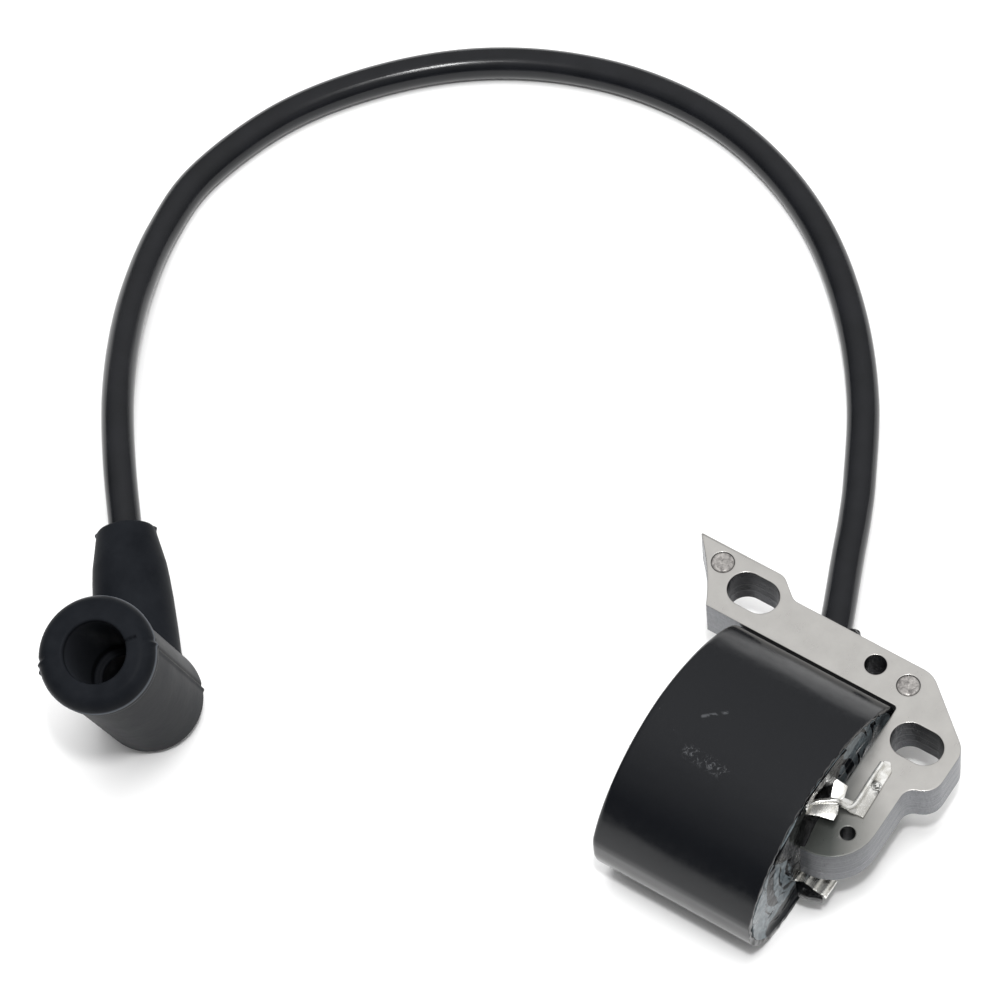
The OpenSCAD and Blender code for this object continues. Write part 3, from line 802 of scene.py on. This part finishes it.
def make_boot():
    """Right-angle boot: two turned solids joined, their bores cut, then remeshed as one moulding."""
    barrel = aim(revolve("boot_moulding", barrel_profile(), 128), HEEL, BARREL_DIR)
    arm_profile = [(TIP, 0.0), (9.0, 0.0), (8.8, 12), (8.5, 20), (8.15, 25), (7.85, 28)]
    arm_profile += [(6.3, ARM_L - 0.8), (6.0, ARM_L - 0.15), (5.7, ARM_L), (TIP, ARM_L)]
    arm = aim(revolve("boot_arm", arm_profile, 96), ELBOW, ARM_DIR)
    combine(barrel, [arm], "UNION")
    floor_z, over_z = BARREL_L - PLUG_L, BARREL_L + 0.3
    bore = [(TIP, floor_z), (PLUG_R, floor_z), (PLUG_R, BARREL_L - 0.5)]
    bore += [(PLUG_R + 0.2, BARREL_L - 0.1), (PLUG_R + 0.6, over_z), (TIP, over_z)]
    chamber = [(TIP, 5.0), (4.8, 5.0), (4.8, floor_z + 0.5), (TIP, floor_z + 0.5)]
    lead_bore = [(TIP, 0.0), (3.7, 0.0), (3.7, ARM_L + 1), (TIP, ARM_L + 1)]
    cutters = [
        aim(revolve("boot_bore", bore, 96), HEEL, BARREL_DIR),
        aim(revolve("boot_chamber", chamber, 64), HEEL, BARREL_DIR),
        aim(revolve("boot_lead_bore", lead_bore, 64), ELBOW, ARM_DIR),
    ]
    combine(barrel, cutters, "DIFFERENCE")
    one_moulding(barrel, voxel=0.26, passes=5)
    return barrel


boot = make_boot()


def along_barrel(obj):
    """Each vertex with its place from the heel, its height up the barrel and its radial part."""
    for v in obj.data.vertices:
        local = v.co / MM - HEEL
        up = local.dot(BARREL_DIR)
        yield v, local, up, local - up * BARREL_DIR


def true_barrel(obj):
    """Puts the remeshed barrel's side back on its exact radius."""
    for v, local, up, radial in along_barrel(obj):
        off = BARREL_R - radial.length
        if 3.0 < up < BARREL_L - 7.2 and abs(off) < 0.14:
            v.co += radial.normalized() * off * MM


def add_slit(obj):
    """A short shallow cut across the mouth's face, from the bore outwards."""
    turn = math.radians(-41)
    out = math.cos(turn) * BARREL_U + math.sin(turn) * BARREL_V
    across = BARREL_DIR.cross(out)
    for v, local, up, radial in along_barrel(obj):
        if up < BARREL_L - 3 or not 0 < local.dot(out) < 9.0:
            continue
        gap = local.dot(across)
        v.co -= BARREL_DIR * 0.7 * math.exp(-((gap / 0.24) ** 2)) * MM


def add_parting_line(obj):
    """A fine ridge where the mould's halves met, a raised line round the rim, and nubs of flash."""
    nub_way = math.cos(math.radians(5)) * SEAM_SIDE - 0.09 * SEAM_ACROSS
    nub_at = HEEL + 12.0 * nub_way + 49.5 * BARREL_DIR
    arm_end = ELBOW + ARM_L * ARM_DIR
    flat = ARM_DIR.cross(Vector((0, 0, 1))).normalized()
    tips = [arm_end + turn * 6.2 * flat for turn in (-1, 1)]
    for v, local, up, radial in along_barrel(obj):
        p = v.co / MM
        if (p - ELBOW).dot(ARM_DIR) > BARREL_R + 2:
            for tip in tips:
                tab = 0.7 * math.exp(-(((p - tip).length / 0.75) ** 2))
                v.co += (tip - arm_end).normalized() * (tab * MM)
            continue
        if radial.length < BARREL_R - 0.8:
            continue
        outward = radial.normalized()
        gap = local.dot(SEAM_ACROSS)
        ridge = 0.3 * math.exp(-((gap / 0.35) ** 2)) - 0.22 * math.exp(-(((gap - 0.85) / 0.4) ** 2))
        ridge += 0.16 * math.exp(-(((up - RIM_Z - 0.25) / 0.3) ** 2))
        nub = 0.8 * math.exp(-(((p - nub_at).length / 0.8) ** 2))
        v.co += outward * (ridge + nub) * MM
    obj.data.update()


true_barrel(boot)
add_parting_line(boot)
add_slit(boot)
smooth_by_angle(boot, 60)
piece(boot, "boot_shell")
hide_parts("boot_shell")


def spring_path():
    """A leg along the lead, then three turns of a coil round the barrel's axis."""
    leg = [ELBOW + d * ARM_DIR for d in (20, 14, 8)]
    coil_r, pitch, turns, steps = 3.6, 3.0, 3, 6
    coil = []
    for i in range(turns * steps + 1):
        a = math.radians(30 + 360 * i / steps)
        out = coil_r * math.cos(a) * BARREL_U + coil_r * math.sin(a) * BARREL_V
        coil.append(ELBOW + out + (2.6 + pitch * i / steps) * BARREL_DIR)
    return spline(leg + coil, 6)


spring = piece(tube("terminal_spring", spring_path(), 0.55, 16), "boot_spring")
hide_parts("boot_spring")

# ---- housing

LEG_W = 12.0
CLOSED_Y = -0.9
OPEN_Y = -38.4
WALL = 1.6
DOME_C = Vector((-36.5, -3.5))
DOME_R = 29.5
FAR_X = -64.2
NEAR_X = -7.7
HEEL_R = 15.5
LEG_C = Vector((-39.1, CORE_T / 2))  # the middle of the core's leg, in x and z


def arc(centre, radius, start, end, step=1.5):
    """Points of an arc between two angles in degrees."""
    count = max(2, int(abs(end - start) / step))
    out = []
    for k in range(count + 1):
        a = math.radians(start + (end - start) * k / count)
        out.append(Vector((centre[0] + radius * math.cos(a), centre[1] + radius * math.sin(a))))
    return out


def housing_outline():
    """Section of the housing in x and z, counter-clockwise from the middle of its flat bottom."""
    points = [Vector((-30, TABLE_Z))]
    points += arc((NEAR_X - 2, TABLE_Z + 2), 2, -90, 0, 9)
    meets = Vector((-23.5, 23.35))
    shoulder = [(NEAR_X, 7.0), (NEAR_X - 0.1, 10.6), (-10.6, 14.7), (-17.4, 20.0), meets]
    points += [p.xy for p in spline([(x, z, 0) for x, z in shoulder], 8)]
    turn = math.degrees(math.atan2(meets.y - DOME_C.y, meets.x - DOME_C.x))
    far_turn = math.degrees(math.acos((FAR_X + 0.25 - DOME_C.x) / DOME_R))
    points += arc(DOME_C, DOME_R, turn, far_turn)
    points += [Vector((FAR_X + 0.04, 6.1)), Vector((FAR_X, 5.6))]
    points += arc((FAR_X + HEEL_R, TABLE_Z + HEEL_R), HEEL_R, 180, 270, 3)
    return points


def even_outline(points):
    """A closed outline with its points half a millimetre apart."""
    return evenly([Vector((p.x, p.y, 0)) for p in points + points[:1]], 0.5)[:-1]


def eased(points):
    """A closed outline whose near shoulder is smoothed into the dome."""
    path = even_outline(points)
    for _ in range(60):
        moved = [p.copy() for p in path]
        for i, p in enumerate(path):
            if p.x > -36 and p.y > 9:
                moved[i] = (path[i - 1] + p * 2 + path[(i + 1) % len(path)]) / 4
        path = moved
    return [p.xy for p in path]


HOUSING = eased(housing_outline())


def crossing(outline, angle):
    """How far the outline is from the leg's middle in one direction."""
    direction = Vector((math.cos(angle), math.sin(angle)))
    best = 0.0
    for a, b in zip(outline, outline[1:] + outline[:1]):
        edge = b - a
        det = direction.x * -edge.y + edge.x * direction.y
        if abs(det) < 1e-9:
            continue
        gap = a - LEG_C
        t = (gap.x * -edge.y + edge.x * gap.y) / det
        s = (direction.x * gap.y - direction.y * gap.x) / det
        if t > 0 and -1e-6 <= s <= 1 + 1e-6:
            best = max(best, t)
    return best


def round_leg(a, r):
    """The x and z of a point at an angle and a distance from the leg's middle."""
    return LEG_C.x + r * math.cos(a), LEG_C.y + r * math.sin(a)


# directions from the leg's middle to points that lie evenly round the housing, and its reach there
ANGLES = sorted(math.atan2(p.y - LEG_C.y, p.x - LEG_C.x) for p in even_outline(HOUSING))
REACH = [crossing(HOUSING, a) for a in ANGLES]
OUTLINE = [round_leg(a, r) for a, r in zip(ANGLES, REACH)]


def section_ring(y, inset, ragged=0.0):
    """Ring of the housing's section at y, moved inwards by inset, wavy along Y by about ragged."""
    ring = []
    for x, z in offset_loop(OUTLINE, inset):
        wave = ragged * noise.noise(Vector((x * 0.55 + 3, z * 0.55, 3)))
        ring.append((x, y + wave, z))
    return ring


def rounded_box(centre, size, r):
    """Outline of a rounded rectangle, counter-clockwise."""
    out = []
    steps = 6
    for corner, (sx, sz) in enumerate(((1, -1), (1, 1), (-1, 1), (-1, -1))):
        c = (centre[0] + sx * (size[0] / 2 - r), centre[1] + sz * (size[1] / 2 - r))
        for k in range(steps + 1):
            a = math.radians(-90 + 90 * corner + 90 * k / steps)
            out.append(Vector((c[0] + r * math.cos(a), c[1] + r * math.sin(a))))
    return out


def make_housing():
    """Thin-walled dome: rounded closed end, ragged bright rim, and a floor inside it."""
    edge = 0.9
    rings = []
    for k in range(5):
        a = math.radians(90 * k / 4)
        rings.append(section_ring(CLOSED_Y - edge * (1 - math.cos(a)), edge * (1 - math.sin(a))))
    steps = 22
    start, end = CLOSED_Y - 1.4, OPEN_Y + 0.5
    rings += [section_ring(start + (end - start) * k / steps, 0.0) for k in range(steps + 1)]
    # distance behind the open end, inset and waviness of the rings over the rim
    rim = ((0.14, 0.02, 0.2), (0.03, 0.16, 0.3), (0.0, 0.45, 0.34), (0.04, 1.15, 0.34))
    rim += ((0.2, 1.48, 0.3), (0.8, WALL, 0.1), (3.0, WALL, 0.0))
    rings += [section_ring(OPEN_Y + behind, inset, ragged) for behind, inset, ragged in rim]
    rings.append(section_ring(CLOSED_Y - WALL, WALL))
    shell = skin("housing_dome", rings, 35)
    window = rounded_box(LEG_C, (LEG_W + 0.2, CORE_T + 0.2), 0.3)
    punch = skin("leg_punch", [[(p.x, y, p.y) for p in window] for y in (2.0, -5.0)])
    combine(shell, [punch], "DIFFERENCE")
    smooth_by_angle(shell, 35)
    return shell


housing = piece(make_housing(), "housing_shell")
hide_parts("housing_shell")


def make_tower():
    """Tower that the lead leaves by, with a rounded mouth and its bore."""
    r, bore = 6.35, 3.56
    profile = [(bore, -16.0), (r, -16.0), (r, -0.6), (r - 0.18, -0.18), (r - 0.6, 0.0)]
    profile += [(bore + 0.5, 0.0), (bore + 0.1, -0.15), (bore, -0.5), (bore, -16.0)]
    tower = skin("lead_tower", turned_rings(profile, 96), 35, caps=False)
    return aim(tower, TOWER_MOUTH, TOWER_DIR)


piece(make_tower(), "housing_shell")


def make_tower_bead():
    """Ring of sealant round the lead at the tower's mouth."""
    inner = LEAD_D / 2 - 0.1
    profile = [(inner, -0.1), (4.9, -0.1), (5.15, 0.5), (4.9, 1.1), (4.4, 1.5), (3.9, 1.75)]
    profile += [(inner, 1.8), (inner, -0.1)]
    obj = skin("tower_bead", turned_rings(profile, 72), 70, caps=False)
    for v in obj.data.vertices:
        p = v.co / MM
        if math.hypot(p.x, p.y) > inner + 0.2:
            v.co += v.normal * 0.55 * MM * (noise.noise(p * 0.55 + Vector((4, 1, 2))) + 0.1)
    return aim(obj, TOWER_MOUTH, TOWER_DIR)


bead_piece = piece(make_tower_bead(), "tower_seal")
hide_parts("tower_seal")


def make_lump():
    """Blob where the bead was finished, on the side away from the pole faces."""
    side = Vector((TOWER_DIR.y, -TOWER_DIR.x, 0))
    centre = TOWER_MOUTH + 0.9 * TOWER_DIR + 4.0 * side + Vector((0, 0, 3.1))
    mesh = bpy.data.meshes.new("tower_lump")
    bm = bmesh.new()
    bmesh.ops.create_icosphere(bm, subdivisions=5, radius=1.0)
    for v in bm.verts:
        swell = 1 + 0.22 * noise.noise(v.co * 1.4 + Vector((3, 1, 7)))
        out = 1.5 * v.co.x * TOWER_DIR + 2.0 * v.co.y * side + Vector((0, 0, 1.6 * v.co.z))
        v.co = (centre + swell * out) * MM
    bm.to_mesh(mesh)
    bm.free()
    mesh.shade_smooth()
    return add_object("tower_lump", mesh)


piece(make_lump(), "tower_seal")

# ---- potting

LEG_BOX = rounded_box(LEG_C, (LEG_W, CORE_T), 0.2)
WALL_LINE = [Vector(p) for p in offset_loop([(q.x, q.y) for q in HOUSING], WALL)]
LEG_RING = [crossing(LEG_BOX, a) for a in ANGLES]
INNER = [crossing(WALL_LINE, a) for a in ANGLES]
RESIN_Y = OPEN_Y + 0.9
UNDER_Y = RESIN_Y + 4.2  # the hidden end of the sealant, inside the resin
STRAP_HOLLOW = Vector((-37.8, 14.4))


def dip(x, z):
    """How much lower the surface lies round the strap's root."""
    wide, high = (x - STRAP_HOLLOW.x) / 4.2, (z - STRAP_HOLLOW.y) / 3.4
    return 3.6 * math.exp(-(wide**2) - high**2)


def make_resin():
    """The cast surface: it climbs the wall and the leg, and sags between them."""
    rings = []
    steps = 34
    for k in range(steps + 1):
        t = k / steps
        ring = []
        for a, r0, r1 in zip(ANGLES, LEG_RING, INNER):
            r = (r0 - 0.4) + (r1 + 0.15 - r0 + 0.4) * t
            to_wall, to_leg = (r1 - r), (r - r0)
            climb = 0.75 * math.exp(-to_wall / 0.8) + 0.9 * math.exp(-max(to_leg, 0) / 1.2)
            x, z = round_leg(a, r)
            wave = 0.5 * noise.noise(Vector((x * 0.16, z * 0.16, 1.7)))
            wave += 0.3 * noise.noise(Vector((6 * math.cos(a), 6 * math.sin(a), to_wall * 0.45)))
            ring.append((x, RESIN_Y - climb + 0.6 * wave + dip(x, z), z))
        rings.append(ring)
    back = [(x, RESIN_Y + 4, z) for x, y, z in rings[-1]]
    front = [(x, RESIN_Y + 4, z) for x, y, z in rings[0]]
    obj = skin("resin_surface", [front] + rings + [back, front], 60, caps=False)
    uv = obj.data.uv_layers.new(name="along")
    for loop in obj.data.loops:
        p = obj.data.vertices[loop.vertex_index].co / MM
        gap = Vector((p.x - LEG_C.x, p.z - LEG_C.y))
        turn = abs(math.atan2(gap.y, gap.x))
        uv.data[loop.index].uv = (turn * 18, gap.length)
    return obj


resin_piece = piece(make_resin(), "potting_resin")
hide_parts("potting_resin")


def fan_share(degrees):
    """How far the sealant runs out to the wall in a direction: fully above the leg, not at all below."""
    turn = degrees % 360
    rise = min(1.0, max(0.0, (turn - 40) / 14))
    fall = min(1.0, max(0.0, (152 - turn) / 12))
    return rise * fall


def make_leg_bead():
    """Black sealant: low on the leg's two X sides, higher under it, and out to the wall above it."""
    steps = 20
    rings = []
    for k in range(steps + 1):
        t = k / steps
        ring = []
        for a, r0, r1 in zip(ANGLES, LEG_RING, INNER):
            c, s = math.cos(a), math.sin(a)
            x_side = r0 * abs(c) > LEG_W / 2 - 0.6
            height = 1.2 + 0.5 * noise.noise(Vector((c * 1.7, s * 1.7, 0.4)))
            width = 2.1 + 0.9 * noise.noise(Vector((c * 2.2, s * 2.2, 6.0)))
            if x_side:
                height = 0.55
            if x_side and c > 0:
                width = 1.0
            fan = fan_share(math.degrees(a))
            width += (r1 - r0 - width) * fan
            out = width * (1 - t) ** 1.4
            up = height * (t ** (1.8 + 3.5 * fan) + 0.12 * fan * t) / (1 + 0.12 * fan)
            r = r0 + out + 0.07 * (1 - t)
            x, z = round_leg(a, r)
            wave = 0.3 * noise.noise(Vector((x * 0.55, z * 0.55, 2.0)))
            lap = 0.4 * fan * math.exp(-max(r1 - r, 0.0) / 1.2)
            ring.append((x, RESIN_Y - 0.75 - up - lap + wave * (1 - t) + dip(x, z), z))
        rings.append(ring)
    hidden = [round_leg(a, r0 - 0.3) for a, r0 in zip(ANGLES, LEG_RING)]
    inner = [(x, crest[1], z) for (x, z), crest in zip(hidden, rings[-1])]
    base = [(x, UNDER_Y, z) for x, z in hidden]
    foot = [(x, UNDER_Y, z) for x, y, z in rings[0]]
    return skin("leg_sealant", [foot] + rings + [inner, base, foot], 70, caps=False)


leg_bead = piece(make_leg_bead(), "leg_seal")
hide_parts("leg_seal")

# ---- strap and stop terminal

STRAP_T = 0.5


def soften_edges(obj, width, segments, smooth):
    """Bevels the edges of a sheet metal or moulded piece; width is in mm."""
    bevel = obj.modifiers.new("bevel", "BEVEL")
    bevel.width = width * MM
    bevel.segments = segments
    bevel.limit_method = "ANGLE"
    bevel.angle_limit = math.radians(30)
    apply_modifiers(obj)
    smooth_by_angle(obj, smooth)
    return obj


def sheet(name, top, edge=0.12):
    """Sheet metal piece: its upper outline in 3-D, made thick downwards, with rounded edges."""
    points = [Vector(p) for p in top]
    normal = Vector((0, 0, 0))
    for a, b, c in zip(points, points[1:] + points[:1], points[2:] + points[:2]):
        normal += (b - a).cross(c - b)
    normal.normalize()
    low = [p - normal * STRAP_T for p in points]
    n = len(points)
    faces = [tuple(range(n)), tuple(range(2 * n - 1, n - 1, -1))]
    faces += [(k, (k + 1) % n, n + (k + 1) % n, n + k) for k in range(n)]
    return soften_edges(mesh_object(name, points + low, faces, 30), edge, 3, smooth=50)


def flange(name, route, height, thickness):
    """Upright ribbon along a route of its top edge's middle, with a rounded top."""
    path = evenly(spline(route, 6), 0.35)
    up = Vector((0, 0, 1))
    rings = []
    for i, p in enumerate(path):
        heading = path[min(i + 1, len(path) - 1)] - path[max(i - 1, 0)]
        side = Vector((-heading.y, heading.x, 0)).normalized() * thickness / 2
        dent = 0.05 * noise.noise(p * 0.9)
        ring = [p - side - up * height, p - side - up * 0.22, p - side * 0.6 - up * 0.05]
        ring += [p + up * dent, p + side * 0.6 - up * 0.05]
        ring += [p + side - up * 0.22, p + side - up * height]
        rings.append(ring)
    return skin(name, rings, 50)


# outlines of the strap's flat parts, seen from above, and the top edge of its upright rib
PAD = [
    (-39.2, -36.2, 12.9), (-38.0, -38.9, 12.8), (-37.3, -42.0, 12.7), (-35.4, -41.9, 13.0),
    (-33.4, -41.0, 13.3), (-33.3, -40.2, 13.4), (-34.9, -37.8, 13.4), (-36.4, -35.6, 13.4),
]
FLAP = [(-33.9, -39.0, 13.1), (-32.6, -41.5, 12.8), (-29.7, -40.8, 14.0), (-29.7, -37.6, 14.8)]
RAMP = [
    (-33.5, -40.6, 13.3), (-33.4, -43.6, 11.3), (-33.2, -44.6, 11.0), (-30.6, -43.8, 11.0),
    (-32.0, -41.3, 13.3),
]
TAB = [
    (-33.2, -43.3, 11.0), (-32.9, -46.3, 11.0), (-20.9, -45.8, 11.0), (-19.2, -44.5, 11.0),
    (-19.6, -43.1, 11.0),
]
RIB = [
    (-36.6, -35.9, 13.6), (-34.9, -38.0, 13.8), (-33.5, -40.2, 13.9), (-33.2, -41.6, 13.2),
    (-32.7, -42.9, 12.4), (-31.6, -43.4, 12.1), (-29.5, -43.5, 12.1), (-25.0, -43.35, 12.1),
    (-20.4, -43.3, 11.9),
]

strap = sheet("strap_pad", PAD)
for part in (
    sheet("strap_flap", FLAP, edge=0.16),
    sheet("strap_ramp", RAMP),
    sheet("strap_tab", TAB),
    flange("strap_rib", RIB, height=1.0, thickness=1.0),
):
    piece(part, "ground_strap")
piece(strap, "ground_strap")
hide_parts("ground_strap")

WELD_AT = Vector((-25.4, -44.9, 11.0))


def make_weld():
    """Spot weld: a raised ring round a shallow pit."""
    profile = [(1.15, -0.25), (1.1, 0.04), (0.95, 0.15), (0.78, 0.18), (0.6, 0.08), (0.4, -0.02)]
    profile += [(0.2, 0.04), (TIP, 0.08)]
    obj = revolve("weld_spot", [(TIP, -0.25)] + profile, 40, 60)
    for v in obj.data.vertices:
        v.co.z += 0.08 * MM * noise.noise(v.co / MM * 1.6)
        v.co += WELD_AT * MM
    return obj


weld = piece(make_weld(), "strap_weld")
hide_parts("strap_weld")


def make_blade():
    """Stop terminal: a ribbed blade under the arm."""
    (x0, x1), (y0, y1), (z0, z1) = (-46.0, -41.6), (-45.3, -37.5), (-4.4, -3.6)
    pitch, lift, count = 2.1, 0.32, 40
    section = [(y0, z0)]
    for k in range(count + 1):
        y = y0 + (y1 - y0) * k / count
        wave = 0.5 - 0.5 * math.cos(math.tau * (y - y0) / pitch)
        section.append((y, z1 + lift * (wave**2 - 0.3)))
    section.append((y1, z0))
    rings = []
    steps = 12
    for k in range(steps + 1):
        x = x0 + (x1 - x0) * k / steps
        ring = [(x, y, z + 0.06 * noise.noise(Vector((x * 0.7, y * 0.9, z)))) for y, z in section]
        rings.append(ring)
    return soften_edges(skin("terminal_blade", rings, 30), 0.08, 2, smooth=45)


blade = piece(make_blade(), "stop_terminal")
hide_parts("stop_terminal")


def make_block():
    """Black lump that holds the terminal: a wedge with a rounded, wet face."""
    plan = [(-45.2, -39.6), (-46.0, -38.0), (-48.1, -39.6)]
    plan += [(-47.9, -42.0), (-46.7, -45.0), (-46.1, -44.6)]
    levels = [(-6.0, 0.5), (-5.6, 0.1), (-3.7, 0.0), (-3.2, 0.35)]
    return soften_edges(plate("terminal_wedge", [plan], levels, 30), 0.2, 3, smooth=60)


wedge = piece(make_block(), "stop_terminal_block")
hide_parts("stop_terminal_block")

# ---- floor and light

FLOOR_HALF = 3.0  # m
FLOOR_Z = TABLE_Z * MM - 0.00002  # a little under the coil, so that no two faces coincide
LIGHT_AIM = Vector((0, 0.05, 0))
SURROUND_MEAN = 0.05
SURROUND_SLOPE = (0.25, 0.0, 0.80)
SURROUND_LEAST = 0.12


def make_floor():
    mesh = bpy.data.meshes.new("floor")
    signs = ((-1, -1), (1, -1), (1, 1), (-1, 1))
    mesh.from_pydata([(x * FLOOR_HALF, y * FLOOR_HALF, FLOOR_Z) for x, y in signs], [], [(0, 1, 2, 3)])
    floor = add_object("floor", mesh)
    s = Shader("floor_paper")
    tone = s.mix(s.noise(0.02, 2.0), (0.90, 0.90, 0.90), (0.92, 0.92, 0.92))
    dress(floor, s.finish(tone, 0.8))


def make_light(name, at, size, power, glossy):
    """A square lamp aimed at the coil, in metres and watts; without glossy it makes no highlights."""
    data = bpy.data.lights.new(name, "AREA")
    data.size = size
    data.energy = power
    light = add_object(name, data)
    light.location = at
    light.rotation_mode = "QUATERNION"
    light.rotation_quaternion = (LIGHT_AIM - Vector(at)).to_track_quat("-Z", "Y")
    light.visible_glossy = glossy


def make_world():
    """Soft white surround: brightest overhead and a little towards +X, with a least brightness."""
    world = bpy.data.worlds.new("surround")
    scene.world = world
    world.use_nodes = True
    nodes = Nodes(world.node_tree)
    way = nodes.add("ShaderNodeTexCoord").outputs["Generated"]
    slope = nodes.vector("DOT_PRODUCT", way, SURROUND_SLOPE, "Value")
    strength = nodes.math("MAXIMUM", nodes.math("ADD", slope, SURROUND_MEAN), SURROUND_LEAST)
    background = world.node_tree.nodes["Background"]
    nodes.put(background.inputs["Strength"], strength)
    background.inputs["Color"].default_value = (1, 1, 1, 1)


make_floor()
make_world()
make_light("overhead", at=(-0.08, 0.02, 1.5), size=0.9, power=20.0, glossy=False)
make_light("key", at=(-0.355, -0.28, 1.4), size=0.1, power=8.0, glossy=True)
scene.view_settings.view_transform = "Standard"
